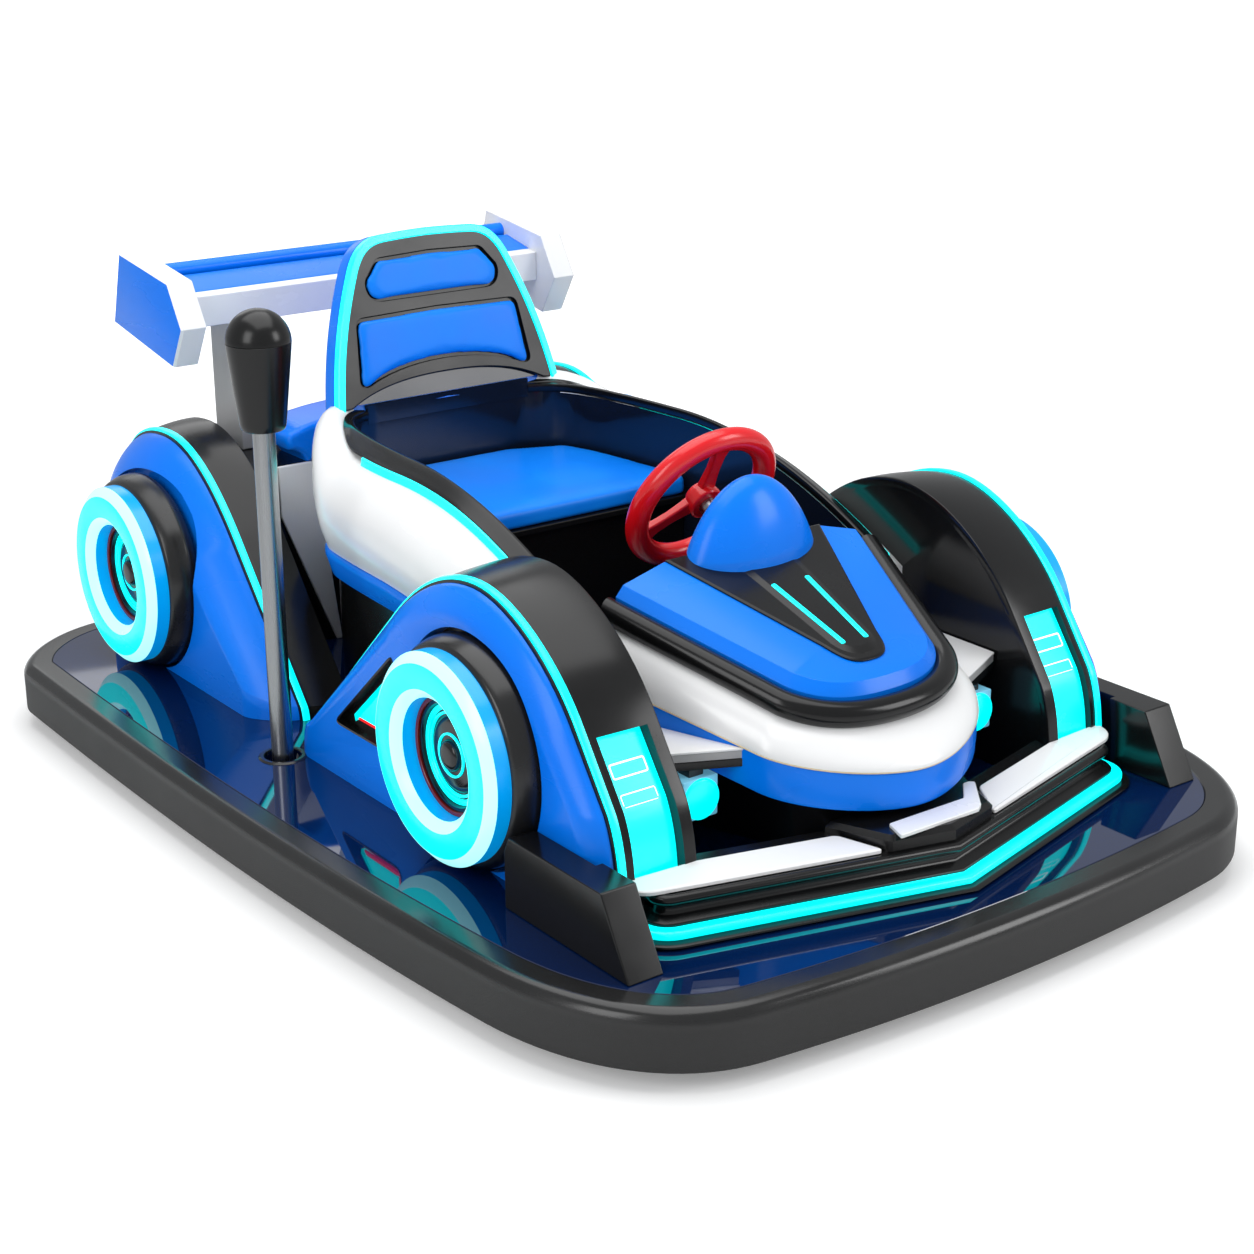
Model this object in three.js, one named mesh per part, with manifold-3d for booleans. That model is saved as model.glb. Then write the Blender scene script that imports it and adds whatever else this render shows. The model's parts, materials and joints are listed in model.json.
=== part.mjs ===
// Fairground bumper car in the style of an open-wheel racer. Millimetres, +Z up, floor at z = 0.
// The car faces -Y; +X is the driver's left. X = 0 is the middle plane, Y = 0 the middle of the platform.
import * as THREE from 'three';
import { mergeVertices } from 'three/addons/utils/BufferGeometryUtils.js';
import Module from 'manifold-3d';

const wasm = await Module();
wasm.setup();

// ---- driving dimensions ------------------------------------------------------------------------
const gap = 0.3;                 // space left between pieces that touch
const run = 6;                   // space left round moving pieces

const platform = { halfLength: 900, halfWidth: 650, bottom: 25, top: 106, edgeRadius: 20, margin: 47,
  frontBow: 27, sideBow: 39, sideCurve: 347, widestY: 210, rearNarrow: 7, rearBow: 44 };
// Corners: how far each one runs along x and y, and the handles of its curve.
const frontCorner = { x: 210, y: 276, handleX: 113, dip: 16, handleY: 157, inset: 19 };
const rearCorner = { x: 177, y: 150, handleX: 89, dip: 14, handleY: 59, inset: 11 };
const deckThickness = 18;
const rail = { width: 40, depth: 40, halfTrack: 250, fromRing: 22, fromEnd: 90, lap: 20 };
const crossMember = { front: -640, middle: -320, seat: 30, rear: 600 };

const wheelLight = { y: [-349, 604], radius: 157, ringRadius: 142.6, boreRadius: 82, centre: 158,
  inner: 432, tyreFace: 492, ringFace: 525, hubFace: 497 };
const fender = { inner: 315, outer: 461, crown: 10, recess: 6 };
const frontStripe = 425;
const rearStripe = 391;

const cockpit = { rearY: 412, frontY: -330, rimHeight: 404, rimWidth: 40, rimThickness: 10, liner: 12,
  bulge: 95, bandHeight: 46 };
const bench = { frontY: 84, top: 309, thickness: 30, edge: 12, clearance: 4 };
const seatBox = { wall: 12, frontY: 104 };
const battery = { width: 340, length: 230, height: 190, y: 260 };
const seatback = { y: 402, height: 264, halfBase: 205, lean: 14 * Math.PI / 180, shell: 42, frame: 12, pad: 12 };
const backPads = { lower: { low: 52, high: 146, halfLow: 162, halfHigh: 148, radius: 16 },
  upper: { low: 170, high: 240, halfLow: 126, halfHigh: 106, radius: 20 } };

const hood = { rearY: -343, frontY: -645, halfRear: 222, halfFront: 132, shoulderY: -588, height: 316, fall: 0.301 };
const bead = { radius: 18, out: 12, drop: 16 };
const nose = { spread: 58, frontY: -722, height: 141, fall: 0.22, band: 54 };
const drive = { y: -480, radius: 70, width: 46, canInner: 108, canWall: 10, crown: 23,
  thrust: 5, stem: 14, plate: 8 };
const column = { y: -248, height: 393, tilt: 61.7 * Math.PI / 180, radius: 14, length: 118 };
const steering = { radius: 107, tube: 17, hub: 24, boss: 32, spokes: 3 };
const dome = { y: -342, halfWidth: 108, halfLength: 64, height: 104, rearY: -322 };

const wing = { apexY: -782, sweep: 0.262, halfSpan: 450.7, deep: 95, shelfFront: 14, shelfLow: 63, shelfBack: 74,
  shelfHigh: 71 };
const wingCover = { from: 104, to: 418, front: 18, thickness: 5 };
const endPlate = { inner: 451, outer: 504, frontLow: -748, frontTop: -693, rear: -488, height: 100 };
const noseLight = { x: 248, y: -562, height: 107, radius: 28, box: 31, depth: 38 };
const nosePlate = { frontY: -572, top: 172, thickness: 26, innerX: 150 };

const rearWing = { halfSpan: 336, plate: 44, frontY: 642, barLow: 528, barTop: 578, lipY: 770, lipTop: 612 };
const post = { inner: 188, outer: 258, frontY: 643, rearY: 735 };
const tail = { frontY: 520, rearY: 800, height: 314, panel: 7 };
const tailCover = { halfFoot: 214, halfLip: 243, halfTop: 196, lipHeight: 362, crown: 388, lip: 12, rearY: 618 };
const rearWheel = { x: 375, y: 450, radius: 75, width: 44, axle: 12 };
const lever = { x: -488, y: 120, radius: 16, top: 664, gripRadius: 46, gripHeight: 171, pivot: -27, tail: 14,
  pin: 6, hole: 27 };

const deckTop = platform.top;

// ---- shared shapes and helpers -----------------------------------------------------------------
const car = new THREE.Group();

function finish(colour, roughness, metalness = 0) {
  return new THREE.MeshStandardMaterial({ color: colour, roughness, metalness });
}

const gloss = { black: finish('#141414', 0.15), blue: finish('#0a6bf0', 0.2), white: finish('#f2f2f2', 0.25),
  cyan: finish('#00f0f5', 0.3), navy: finish('#05265a', 0.08), red: finish('#d80f1e', 0.25) };
const rubber = finish('#181818', 0.6);
const steel = finish('#9b9d9e', 0.3, 0.9);
const cushion = finish('#0b74f2', 0.45);
const paintedSteel = finish('#232427', 0.5, 0.4);

function add(name, solid, material) {
  const geometry = solid instanceof THREE.BufferGeometry ? solid : geometryOf(solid);
  const mesh = new THREE.Mesh(geometry, material);
  mesh.name = name;
  car.add(mesh);
  return mesh;
}

function solidOf(geometry) {
  const bare = geometry.clone();
  bare.deleteAttribute('normal');
  bare.deleteAttribute('uv');
  const merged = mergeVertices(bare, 1e-4);
  const vertProperties = new Float32Array(merged.attributes.position.array);
  const triVerts = new Uint32Array(merged.index.array);
  return new wasm.Manifold(new wasm.Mesh({ numProp: 3, vertProperties, triVerts }));
}

function geometryOf(solid) {
  const { vertProperties, triVerts, numProp } = solid.getMesh();
  const geometry = new THREE.BufferGeometry();
  const positions = new Float32Array(vertProperties.length / numProp * 3);
  for (let i = 0; i < positions.length / 3; i += 1) {
    positions.set(vertProperties.subarray(i * numProp, i * numProp + 3), i * 3);
  }
  geometry.setAttribute('position', new THREE.BufferAttribute(positions, 3));
  geometry.setIndex(new THREE.BufferAttribute(new Uint32Array(triVerts), 1));
  geometry.computeVertexNormals();
  return geometry;
}

// An outline pushed straight along one axis. Outline pairs are (y, z), (x, z) or (x, y).
function prism(axis, outline, from, to) {
  const shape = new THREE.Shape(outline.map(([a, b]) => new THREE.Vector2(a, b)));
  const geometry = new THREE.ExtrudeGeometry(shape, { depth: to - from, bevelEnabled: false });
  const turn = new THREE.Matrix4();
  if (axis === 'x') {
    turn.set(0, 0, 1, from, 1, 0, 0, 0, 0, 1, 0, 0, 0, 0, 0, 1);
  } else if (axis === 'y') {
    turn.set(1, 0, 0, 0, 0, 0, -1, to, 0, 1, 0, 0, 0, 0, 0, 1);
  } else {
    turn.makeTranslation(0, 0, from);
  }
  return solidOf(geometry.applyMatrix4(turn));
}

function box(low, high) {
  const size = high.map((value, i) => value - low[i]);
  const centre = high.map((value, i) => (value + low[i]) / 2);
  return solidOf(new THREE.BoxGeometry(...size).translate(...centre));
}

// A cylinder from one point to another.
function rod(start, end, radius, sides = 24) {
  const a = new THREE.Vector3(...start);
  const b = new THREE.Vector3(...end);
  const geometry = new THREE.CylinderGeometry(radius, radius, a.distanceTo(b), sides);
  const direction = b.clone().sub(a).normalize();
  geometry.applyQuaternion(new THREE.Quaternion().setFromUnitVectors(new THREE.Vector3(0, 1, 0), direction));
  const middle = a.add(b).multiplyScalar(0.5);
  return solidOf(geometry.translate(middle.x, middle.y, middle.z));
}

// A solid through rings of points, all with the same count; the two end rings are closed flat.
function loft(rings, flat = ([x, y]) => [x, y]) {
  const count = rings[0].length;
  const positions = rings.flat(2);
  const faces = [];
  for (let r = 0; r + 1 < rings.length; r += 1) {
    for (let i = 0; i < count; i += 1) {
      const j = (i + 1) % count;
      const a = r * count + i;
      const b = r * count + j;
      faces.push(a, b, b + count, a, b + count, a + count);
    }
  }
  const ends = [[0, 1], [rings.length - 1, -1]];
  for (const [index, way] of ends) {
    const outline = rings[index].map((p) => new THREE.Vector2(...flat(p)));
    const clockwise = THREE.ShapeUtils.isClockWise(outline);
    const order = outline.map((_, i) => (clockwise ? count - 1 - i : i));
    const cap = THREE.ShapeUtils.triangulateShape(order.map((i) => outline[i]), []);
    for (const [a, b, c] of cap) {
      const [p, q, s] = [order[a], order[b], order[c]].map((i) => i + index * count);
      const turned = clockwise ? way : -way;
      faces.push(...(turned > 0 ? [p, q, s] : [p, s, q]));
    }
  }
  let volume = 0;
  const corner = (i) => new THREE.Vector3(...positions.slice(i * 3, i * 3 + 3));
  for (let i = 0; i < faces.length; i += 3) {
    const [a, b, c] = [corner(faces[i]), corner(faces[i + 1]), corner(faces[i + 2])];
    volume += a.dot(b.cross(c));
  }
  const geometry = new THREE.BufferGeometry();
  geometry.setAttribute('position', new THREE.BufferAttribute(new Float32Array(positions), 3));
  geometry.setIndex(volume < 0 ? faces.reverse() : faces);
  return solidOf(geometry);
}

// Points of a path of lines and curves: 'start', then [end], [control, end] or [control, control, end].
function path(start, steps, divisions = 8) {
  const line = new THREE.Path();
  line.moveTo(...start);
  for (const step of steps) {
    const numbers = step.flat();
    if (step.length === 1) line.lineTo(...numbers);
    if (step.length === 2) line.quadraticCurveTo(...numbers);
    if (step.length === 3) line.bezierCurveTo(...numbers);
  }
  return line.getPoints(divisions).map((p) => [p.x, p.y]);
}

// A closed outline moved outwards (positive) or inwards along its own normals.
function offset(outline, distance) {
  const count = outline.length;
  const clockwise = THREE.ShapeUtils.isClockWise(outline.map(([x, y]) => new THREE.Vector2(x, y)));
  const side = clockwise ? -1 : 1;
  return outline.map(([x, y], i) => {
    const [ax, ay] = outline[(i + count - 1) % count];
    const [bx, by] = outline[(i + 1) % count];
    const inward = new THREE.Vector2(x - ax, y - ay).normalize();
    const outward = new THREE.Vector2(bx - x, by - y).normalize();
    const normal = new THREE.Vector2(inward.y + outward.y, -inward.x - outward.x).multiplyScalar(side / 2);
    const scale = distance / Math.max(normal.lengthSq(), 0.3);
    return [x + normal.x * scale, y + normal.y * scale];
  });
}

function mirrored(half) {
  const other = half.filter(([x]) => x > 0.01).map(([x, ...rest]) => [-x, ...rest]).reverse();
  return [...half, ...other];
}

const sides = [['left', 1], ['right', -1]];

// ---- platform: rubber bumper ring, deck and steel frame ----------------------------------------
function platformOutline(inset) {
  const { halfLength, halfWidth, frontBow, sideBow, sideCurve, widestY, rearNarrow, rearBow } = platform;
  const front = [halfWidth - sideBow - frontCorner.x, -halfLength + frontBow];
  const side = [halfWidth - sideBow, front[1] + frontCorner.y];
  const rear = [halfWidth - rearNarrow, halfLength - rearBow - rearCorner.y];
  const tailEnd = [rear[0] - rearCorner.x, halfLength - rearBow];
  const half = path([0, -halfLength], [
    [[front[0] / 2, -halfLength], front],
    [[front[0] + frontCorner.handleX, front[1] + frontCorner.dip],
      [side[0] - frontCorner.inset, side[1] - frontCorner.handleY], side],
    [[halfWidth, side[1] + sideCurve], [halfWidth, widestY]],
    [[halfWidth, (widestY + rear[1]) / 2], rear],
    [[rear[0] - rearCorner.inset, rear[1] + rearCorner.handleY],
      [tailEnd[0] + rearCorner.handleX, tailEnd[1] - rearCorner.dip], tailEnd],
    [[tailEnd[0] / 2, halfLength], [0, halfLength]],
  ]);
  return offset(mirrored(half), -inset);
}

function ringAt(inset, z) {
  return platformOutline(inset).map(([x, y]) => [x, y, z]);
}

function bumperRing() {
  const { bottom, top, edgeRadius, margin } = platform;
  const rings = [ringAt(6, bottom), ringAt(0, bottom + 6)];
  const facets = 3;
  for (let i = 0; i <= facets; i += 1) {
    const angle = i / facets * Math.PI / 2;
    rings.push(ringAt(edgeRadius * (1 - Math.cos(angle)), top - edgeRadius * (1 - Math.sin(angle))));
  }
  const inner = prism('z', platformOutline(margin), bottom - 1, top + 1);
  return loft(rings).subtract(inner);
}
add('bumper_ring', bumperRing(), rubber);

const rearWell = { x: rearWheel.width / 2 + run + 4, y: rearWheel.radius + run + 4 };

function deckPlate() {
  const plate = prism('z', platformOutline(platform.margin + gap), deckTop - deckThickness, deckTop);
  const driveWell = rod([0, drive.y, 0], [0, drive.y, deckTop + 5], drive.canInner, 40);
  const leverHole = rod([lever.x, lever.y, 0], [lever.x, lever.y, deckTop + 5], lever.hole);
  let deck = plate.subtract(driveWell).subtract(leverHole);
  for (const [, way] of sides) {
    const x = way * rearWheel.x;
    deck = deck.subtract(box([x - rearWell.x, rearWheel.y - rearWell.y, 0],
      [x + rearWell.x, rearWheel.y + rearWell.y, deckTop + 5]));
  }
  return deck;
}
add('deck_plate', deckPlate(), gloss.navy);

const railTop = deckTop - deckThickness - gap;
const railBottom = railTop - rail.depth;
const frameEnd = { front: -platform.halfLength + rail.fromEnd, rear: platform.halfLength - rail.fromEnd };
const frameReach = platform.halfWidth - platform.margin - rail.fromRing;

// The rear cross member lies in notches in the top of the two rails.
function rearCrossMember(grow) {
  const half = rail.width / 2 + grow;
  return box([-frameReach, crossMember.rear - half, railTop - rail.lap - grow],
    [frameReach, crossMember.rear + half, railTop + grow]);
}
add('rear_cross_member', rearCrossMember(0), paintedSteel);

// The rear end member stands between the rails' ends.
const betweenRails = rail.halfTrack - rail.width / 2;
add('rear_end_member', box([-betweenRails + gap, frameEnd.rear - rail.width, railBottom],
  [betweenRails - gap, frameEnd.rear, railTop]), paintedSteel);

function chassisFrame() {
  const half = rail.width / 2;
  let frame = null;
  const join = (piece) => {
    frame = frame ? frame.add(piece) : piece;
  };
  for (const [, way] of sides) {
    join(box([way * rail.halfTrack - half, frameEnd.front, railBottom],
      [way * rail.halfTrack + half, frameEnd.rear, railTop]));
  }
  join(box([-rail.halfTrack, frameEnd.front, railBottom],
    [rail.halfTrack, frameEnd.front + rail.width, railTop]));
  for (const y of [crossMember.middle, crossMember.seat]) {
    join(box([-frameReach, y - half, railBottom], [frameReach, y + half, railTop]));
  }
  join(box([-rail.halfTrack, crossMember.front - half, railBottom],
    [rail.halfTrack, crossMember.front + half, railTop]));
  const axle = rod([-rail.halfTrack - rail.width, rearWheel.y, rearWheel.radius],
    [rail.halfTrack + rail.width, rearWheel.y, rearWheel.radius], rearWheel.axle + gap);
  return frame.subtract(axle).subtract(rearCrossMember(gap));
}
add('chassis_frame', chassisFrame(), paintedSteel);

// ---- fenders: four upright arches with a rounded outer shoulder --------------------------------
// Outlines are (along the car from the wheel centre, height above the deck).
const frontArch = path([487, 0], [
  [[486, 44], [470, 44]], [[238, 264]],
  [[180, 322], [110, 371], [24, 371]],
  [[-50, 371], [-145, 315], [-199, 234]],
  [[-259, 149]], [[-280, 110], [-284, 60], [-285, 0]],
], 7);
const rearArch = path([-379, 0], [
  [[-379, 8], [-374, 20]], [[-197, 227]],
  [[-137, 300], [-60, 366], [30, 366]],
  [[120, 366], [190, 330], [212, 240]],
  [[222, 190], [222, 90], [218, 0]],
], 7);

// An arch grows and shrinks along lines from the wheel's centre; its feet stay on the deck.
function archRing(arch, wheelY, way, x, grow) {
  return arch.map(([y, h]) => {
    const reach = Math.hypot(y, h - wheelLight.centre);
    const scale = 1 + grow / reach;
    const height = wheelLight.centre + (h - wheelLight.centre) * scale;
    return [way * x, wheelY + y * scale, deckTop + gap + (h < 1 ? 0 : Math.max(height, 2))];
  });
}

function fenderSolid(arch, wheelY, stripe, way, extra = 0) {
  const { inner, outer, crown } = fender;
  const shoulder = outer - stripe;
  const rings = [archRing(arch, wheelY, way, inner - extra, crown + extra),
    archRing(arch, wheelY, way, stripe - 8, extra + 3), archRing(arch, wheelY, way, stripe, extra)];
  for (const angle of [30, 60, 90]) {
    const turn = angle * Math.PI / 180;
    rings.push(archRing(arch, wheelY, way, stripe + shoulder * Math.sin(turn),
      extra - (shoulder + 8) * (1 - Math.cos(turn))));
  }
  return loft(rings, ([, y, z]) => [y, z]);
}

const fenders = {};
const wheelHeight = deckTop + wheelLight.centre;
const ends = [['front', frontArch, wheelLight.y[0], frontStripe], ['rear', rearArch, wheelLight.y[1], rearStripe]];
for (const [end, arch, wheelY, stripe] of ends) {
  for (const [side, way] of sides) {
    const recess = rod([way * (wheelLight.inner - gap), wheelY, wheelHeight],
      [way * (fender.outer + 5), wheelY, wheelHeight], wheelLight.radius + fender.recess, 40);
    let solid = fenderSolid(arch, wheelY, stripe, way).subtract(recess);
    if (end === 'rear') {
      const x = way * rearWheel.x;
      solid = solid.subtract(box([x - rearWell.x, rearWheel.y - rearWell.y, deckTop - 5],
        [x + rearWell.x, rearWheel.y + rearWell.y, 2 * rearWheel.radius + run]));
    }
    fenders[`${end}_${side}`] = fenderSolid(arch, wheelY, stripe, way, gap);
    add(`fender_${end}_${side}`, solid, gloss.blue);
  }
}

function clearOfFenders(solid) {
  return Object.values(fenders).reduce((left, cut) => left.subtract(cut), solid);
}

// ---- wheel lights: fixed tyres with a glowing ring and a dark hub ------------------------------
function wheelLightSolid(way, wheelY) {
  const { radius, ringRadius, boreRadius, inner, tyreFace, ringFace, hubFace } = wheelLight;
  const ring = (ringRadius - boreRadius) / 5;
  const profile = [[0, inner], [radius - 22, inner], [radius - 6, inner + 8], [radius, inner + 26],
    [radius - 2, inner + 42], [radius - 11, tyreFace - 4], [ringRadius, tyreFace],
    [ringRadius, ringFace - 4], [ringRadius - ring, ringFace], [boreRadius + ring, ringFace],
    [boreRadius, ringFace - 4], [boreRadius, hubFace], [0, hubFace]];
  const lathe = new THREE.LatheGeometry(profile.map(([r, x]) => new THREE.Vector2(r, x)), 28);
  lathe.rotateZ(way * -Math.PI / 2);
  return solidOf(lathe.translate(0, wheelY, wheelHeight));
}
for (const [end, , wheelY] of ends) {
  for (const [side, way] of sides) {
    add(`wheel_light_${end}_${side}`, wheelLightSolid(way, wheelY), gloss.cyan);
  }
}

// ---- cockpit tub, rim and sill: one section carried round a U in plan --------------------------
function rimTop(y) {
  const ahead = Math.max(0, 100 - y);
  return deckTop + cockpit.rimHeight - 0.00045 * ahead * ahead;
}

const innerLine = path([262, cockpit.frontY], [
  [[258, -120], [250, 60]],
  [[244, 200], [232, 270]],
  [[218, cockpit.rearY - 40], [190, cockpit.rearY - 4], [130, cockpit.rearY]],
  [[0, cockpit.rearY + 2]],
], 6);

function stations(line) {
  const full = mirrored(line);
  return full.map(([x, y], i) => {
    const [ax, ay] = full[Math.max(i - 1, 0)];
    const [bx, by] = full[Math.min(i + 1, full.length - 1)];
    const along = new THREE.Vector2(bx - ax, by - ay).normalize();
    return { x, y, out: [along.y, -along.x] };
  });
}
const tubStations = stations(innerLine).map((s) => (s.out[0] * s.x + s.out[1] * s.y < 0
  ? { ...s, out: [-s.out[0], -s.out[1]] } : s));

function sweepU(section) {
  const rings = tubStations.map((s) => section(rimTop(s.y), s.y).map(([d, z]) => [
    s.x + s.out[0] * d, s.y + s.out[1] * d, z]));
  return loft(rings, ([x, , z]) => [x, z]);
}

const tubFoot = deckTop + gap;
const { rimWidth, rimThickness, liner, bulge, bandHeight } = cockpit;
const whiteLow = 155;            // from the rim down to the lower edge of the white side

const tubShell = sweepU((rim) => [[0, tubFoot], [0, rim - rimThickness], [rimWidth, rim - rimThickness - 6],
  [rimWidth + 22, rim - 32], [bulge - 8, rim - 62], [bulge, rim - 100], [bulge - 6, rim - 135],
  [bulge - 14, rim - whiteLow], [liner, rim - whiteLow], [liner, tubFoot]]);
add('tub_shell', clearOfFenders(tubShell), gloss.white);

const tubSill = sweepU((rim) => [[liner + gap, tubFoot], [liner + gap, rim - whiteLow - gap],
  [bulge - 14, rim - whiteLow - gap], [bulge - 10, rim - whiteLow - 6], [bulge - 20, rim - whiteLow - bandHeight],
  [bulge - 42, rim - whiteLow - bandHeight - 14], [bulge - 50, tubFoot]]);
add('tub_sill', clearOfFenders(tubSill), gloss.blue);

const rim = sweepU((top) => [[-1, top - rimThickness + gap], [-3, top - 5], [3, top + 1], [14, top + 3],
  [28, top], [rimWidth - 2, top - 8], [rimWidth, top - rimThickness - 6 + gap]]);
add('cockpit_rim', clearOfFenders(rim), gloss.black);

// ---- seat: box with the battery inside, bench cushion and seatback -----------------------------
function innerHalf(y) {
  for (let i = 1; i < innerLine.length; i += 1) {
    const [x0, y0] = innerLine[i - 1];
    const [x1, y1] = innerLine[i];
    if (y <= y1) return x0 + (x1 - x0) * (y - y0) / (y1 - y0);
  }
  return 0;
}

function seatOutline(frontY, clearance) {
  const steps = [0, 0.3, 0.55, 0.72, 0.84, 0.92];
  const depth = cockpit.rearY - clearance - frontY;
  const half = steps.map((t) => {
    const y = frontY + t * depth;
    return [innerHalf(y) - clearance, y];
  });
  half.push([100, cockpit.rearY - clearance - 3], [0, cockpit.rearY - clearance - 1]);
  return mirrored([[0, frontY], ...half]);
}

const benchTop = deckTop + bench.top;
const benchLow = benchTop - bench.thickness;

function seatBase() {
  const outer = prism('z', seatOutline(seatBox.frontY, 1), deckTop + gap, benchLow - gap);
  const inner = prism('z', offset(seatOutline(seatBox.frontY, 1), -seatBox.wall), deckTop - 1,
    benchLow - gap - seatBox.wall);
  return outer.subtract(inner);
}
add('seat_base', seatBase(), gloss.black);

function benchCushion() {
  const ring = (inset, z) => offset(seatOutline(bench.frontY, bench.clearance), -inset).map(([x, y]) => [x, y, z]);
  const { edge } = bench;
  return loft([ring(3, benchLow), ring(0, benchLow + 4), ring(0, benchTop - edge),
    ring(edge * 0.3, benchTop - edge * 0.3), ring(edge, benchTop)]);
}
add('seat_bench', benchCushion(), cushion);

add('battery_pack', box([-battery.width / 2, battery.y - battery.length / 2, deckTop + gap],
  [battery.width / 2, battery.y + battery.length / 2, deckTop + battery.height]), paintedSteel);

const seatbackFoot = rimTop(cockpit.rearY) + 3 + gap;
function seatbackOutline(grow) {
  const { height, halfBase } = seatback;
  const half = path([halfBase, 0], [
    [[halfBase - 8, 55], [halfBase - 22, 105]],
    [[halfBase - 36, 155], [halfBase - 58, 205]],
    [[halfBase - 76, height - 6], [halfBase - 122, height - 3]],
    [[0, height]],
  ], 5);
  const outline = mirrored(half).reverse();
  return offset(outline, grow);
}

function seatbackPiece(outline, front, back) {
  const solid = prism('y', outline, front, back);
  const angle = seatback.lean * 180 / Math.PI;
  return solid.rotate([-angle, 0, 0]).translate([0, seatback.y, seatbackFoot + 4]);
}

const { frame: frameDepth, pad: padDepth, shell: shellDepth } = seatback;
function padOutline({ low, high, halfLow, halfHigh, radius }) {
  const rise = (high - low - 2 * radius) || 1;
  const lean = (halfLow - halfHigh) / rise;
  return path([0, low], [[[halfLow - radius, low]], [[halfLow, low], [halfLow - lean * radius, low + radius]],
    [[halfHigh + lean * radius, high - radius]], [[halfHigh, high], [halfHigh - radius, high]], [[0, high]]], 4);
}

let backFrame = seatbackPiece(seatbackOutline(0), 0, frameDepth);
for (const [name, size] of Object.entries(backPads)) {
  const outline = mirrored(padOutline(size));
  backFrame = backFrame.subtract(seatbackPiece(offset(outline, 1), -1, frameDepth / 2));
  add(`seat_pad_${name}`, seatbackPiece(outline, frameDepth / 2 - padDepth, frameDepth / 2 - gap), cushion);
}
const aboveRim = box([-400, 200, seatbackFoot], [400, 800, 1200]);
add('seatback_frame', backFrame.intersect(aboveRim), gloss.black);
add('seatback_shell', seatbackPiece(seatbackOutline(5), frameDepth + gap, frameDepth + gap + shellDepth)
  .intersect(aboveRim), gloss.blue);

// ---- nose: black base, blue band, white shell, bead, hood, insert and cowl ---------------------
// The plan outlines share one shape: straight sides that taper and a rounded front.
function nosePlan(grow, frontY) {
  const { rearY, halfRear, halfFront, shoulderY } = hood;
  const half = path([halfRear + grow, rearY], [
    [[halfFront + grow, shoulderY - grow * 0.3]],
    [[halfFront + grow - 22, shoulderY - grow * 0.3 - 40 - grow * 0.3], [70, frontY], [0, frontY]],
  ], 7);
  return mirrored(half);
}

function hoodZ(y) {
  return deckTop + hood.height + hood.fall * (y - hood.rearY);
}

function noseZ(y) {
  return deckTop + nose.height + nose.fall * (y - nose.frontY);
}

function noseRing(grow, frontY, height) {
  return nosePlan(grow, frontY).map(([x, y]) => [x, y, height(y)]);
}

const hoodTopRise = 33;
const insertInset = 83;
const insertFront = hood.frontY + 36;
const insertRise = 0.055;
const insertZ = (y) => hoodZ(y) + hoodTopRise + insertRise * (y - hood.rearY);
const hoodSolid = loft([noseRing(-4, hood.frontY + 4, (y) => hoodZ(y) - 60), noseRing(0, hood.frontY, hoodZ),
  noseRing(-13, hood.frontY + 9, (y) => hoodZ(y) + 14), noseRing(-insertInset, insertFront, insertZ)]);

const beadCentre = noseRing(bead.out, hood.frontY - bead.out, (y) => hoodZ(y) - bead.drop);
const beadPath = beadCentre.map((p) => new THREE.Vector3(...p));
function beadSolid(radius) {
  const circle = new THREE.Shape();
  circle.absarc(0, 0, radius, 0, 2 * Math.PI);
  const curve = new THREE.CatmullRomCurve3(beadPath);
  return solidOf(new THREE.ExtrudeGeometry(circle, { steps: 32, curveSegments: 4, extrudePath: curve,
    bevelEnabled: false }));
}
const noseShell = loft([noseRing(nose.spread, nose.frontY, noseZ),
  noseRing(nose.spread - 3, nose.frontY + 3, (y) => noseZ(y) + 22),
  noseRing(bead.out + 12, hood.frontY - bead.out - 14, (y) => hoodZ(y) - bead.drop - 14),
  noseRing(0, hood.frontY, (y) => hoodZ(y) - bead.drop - 6)]);
const hoodCore = noseRing(-4 + gap, hood.frontY + 4 - gap, (y) => hoodZ(y) - 60 - gap);
const hoodCut = loft([hoodCore, noseRing(gap, hood.frontY - gap, hoodZ)]);
add('nose_shell', clearOfFenders(noseShell.subtract(hoodCut).subtract(beadSolid(bead.radius + gap))), gloss.white);
add('hood_bead', beadSolid(bead.radius).subtract(hoodCut.add(loft([noseRing(gap, hood.frontY - gap, hoodZ),
  noseRing(gap, hood.frontY - gap, (y) => hoodZ(y) + 40)]))), gloss.black);

const noseBand = loft([noseRing(nose.spread - 3, nose.frontY + 6, (y) => noseZ(y) - nose.band),
  noseRing(nose.spread - 2, nose.frontY + 3, (y) => noseZ(y) - gap)]);
add('nose_band', clearOfFenders(noseBand), gloss.blue);

const canOuter = drive.canInner + drive.canWall;
const noseBase = loft([noseRing(-30, hood.frontY + 30, () => deckTop + gap),
  noseRing(10, nose.frontY + 60, (y) => noseZ(y) - nose.band - gap)]);
const canWell = rod([0, drive.y, deckTop - 5], [0, drive.y, deckTop + 260], canOuter + gap, 40);
add('nose_base', noseBase.subtract(canWell), gloss.black);

// Steering column and cowl: the column passes through the hood at its back edge.
const hub = new THREE.Vector3(0, column.y, deckTop + column.height);
const axis = new THREE.Vector3(0, Math.sin(column.tilt), Math.cos(column.tilt));
const along = (distance) => hub.clone().addScaledVector(axis, distance).toArray();
const columnCut = rod(along(-steering.hub), along(-column.length - 1), column.radius + gap);
add('steering_column', rod(along(-steering.boss / 2 - gap), along(-column.length), column.radius), steel);
add('hood_panel', hoodSolid.subtract(columnCut), gloss.blue);

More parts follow.
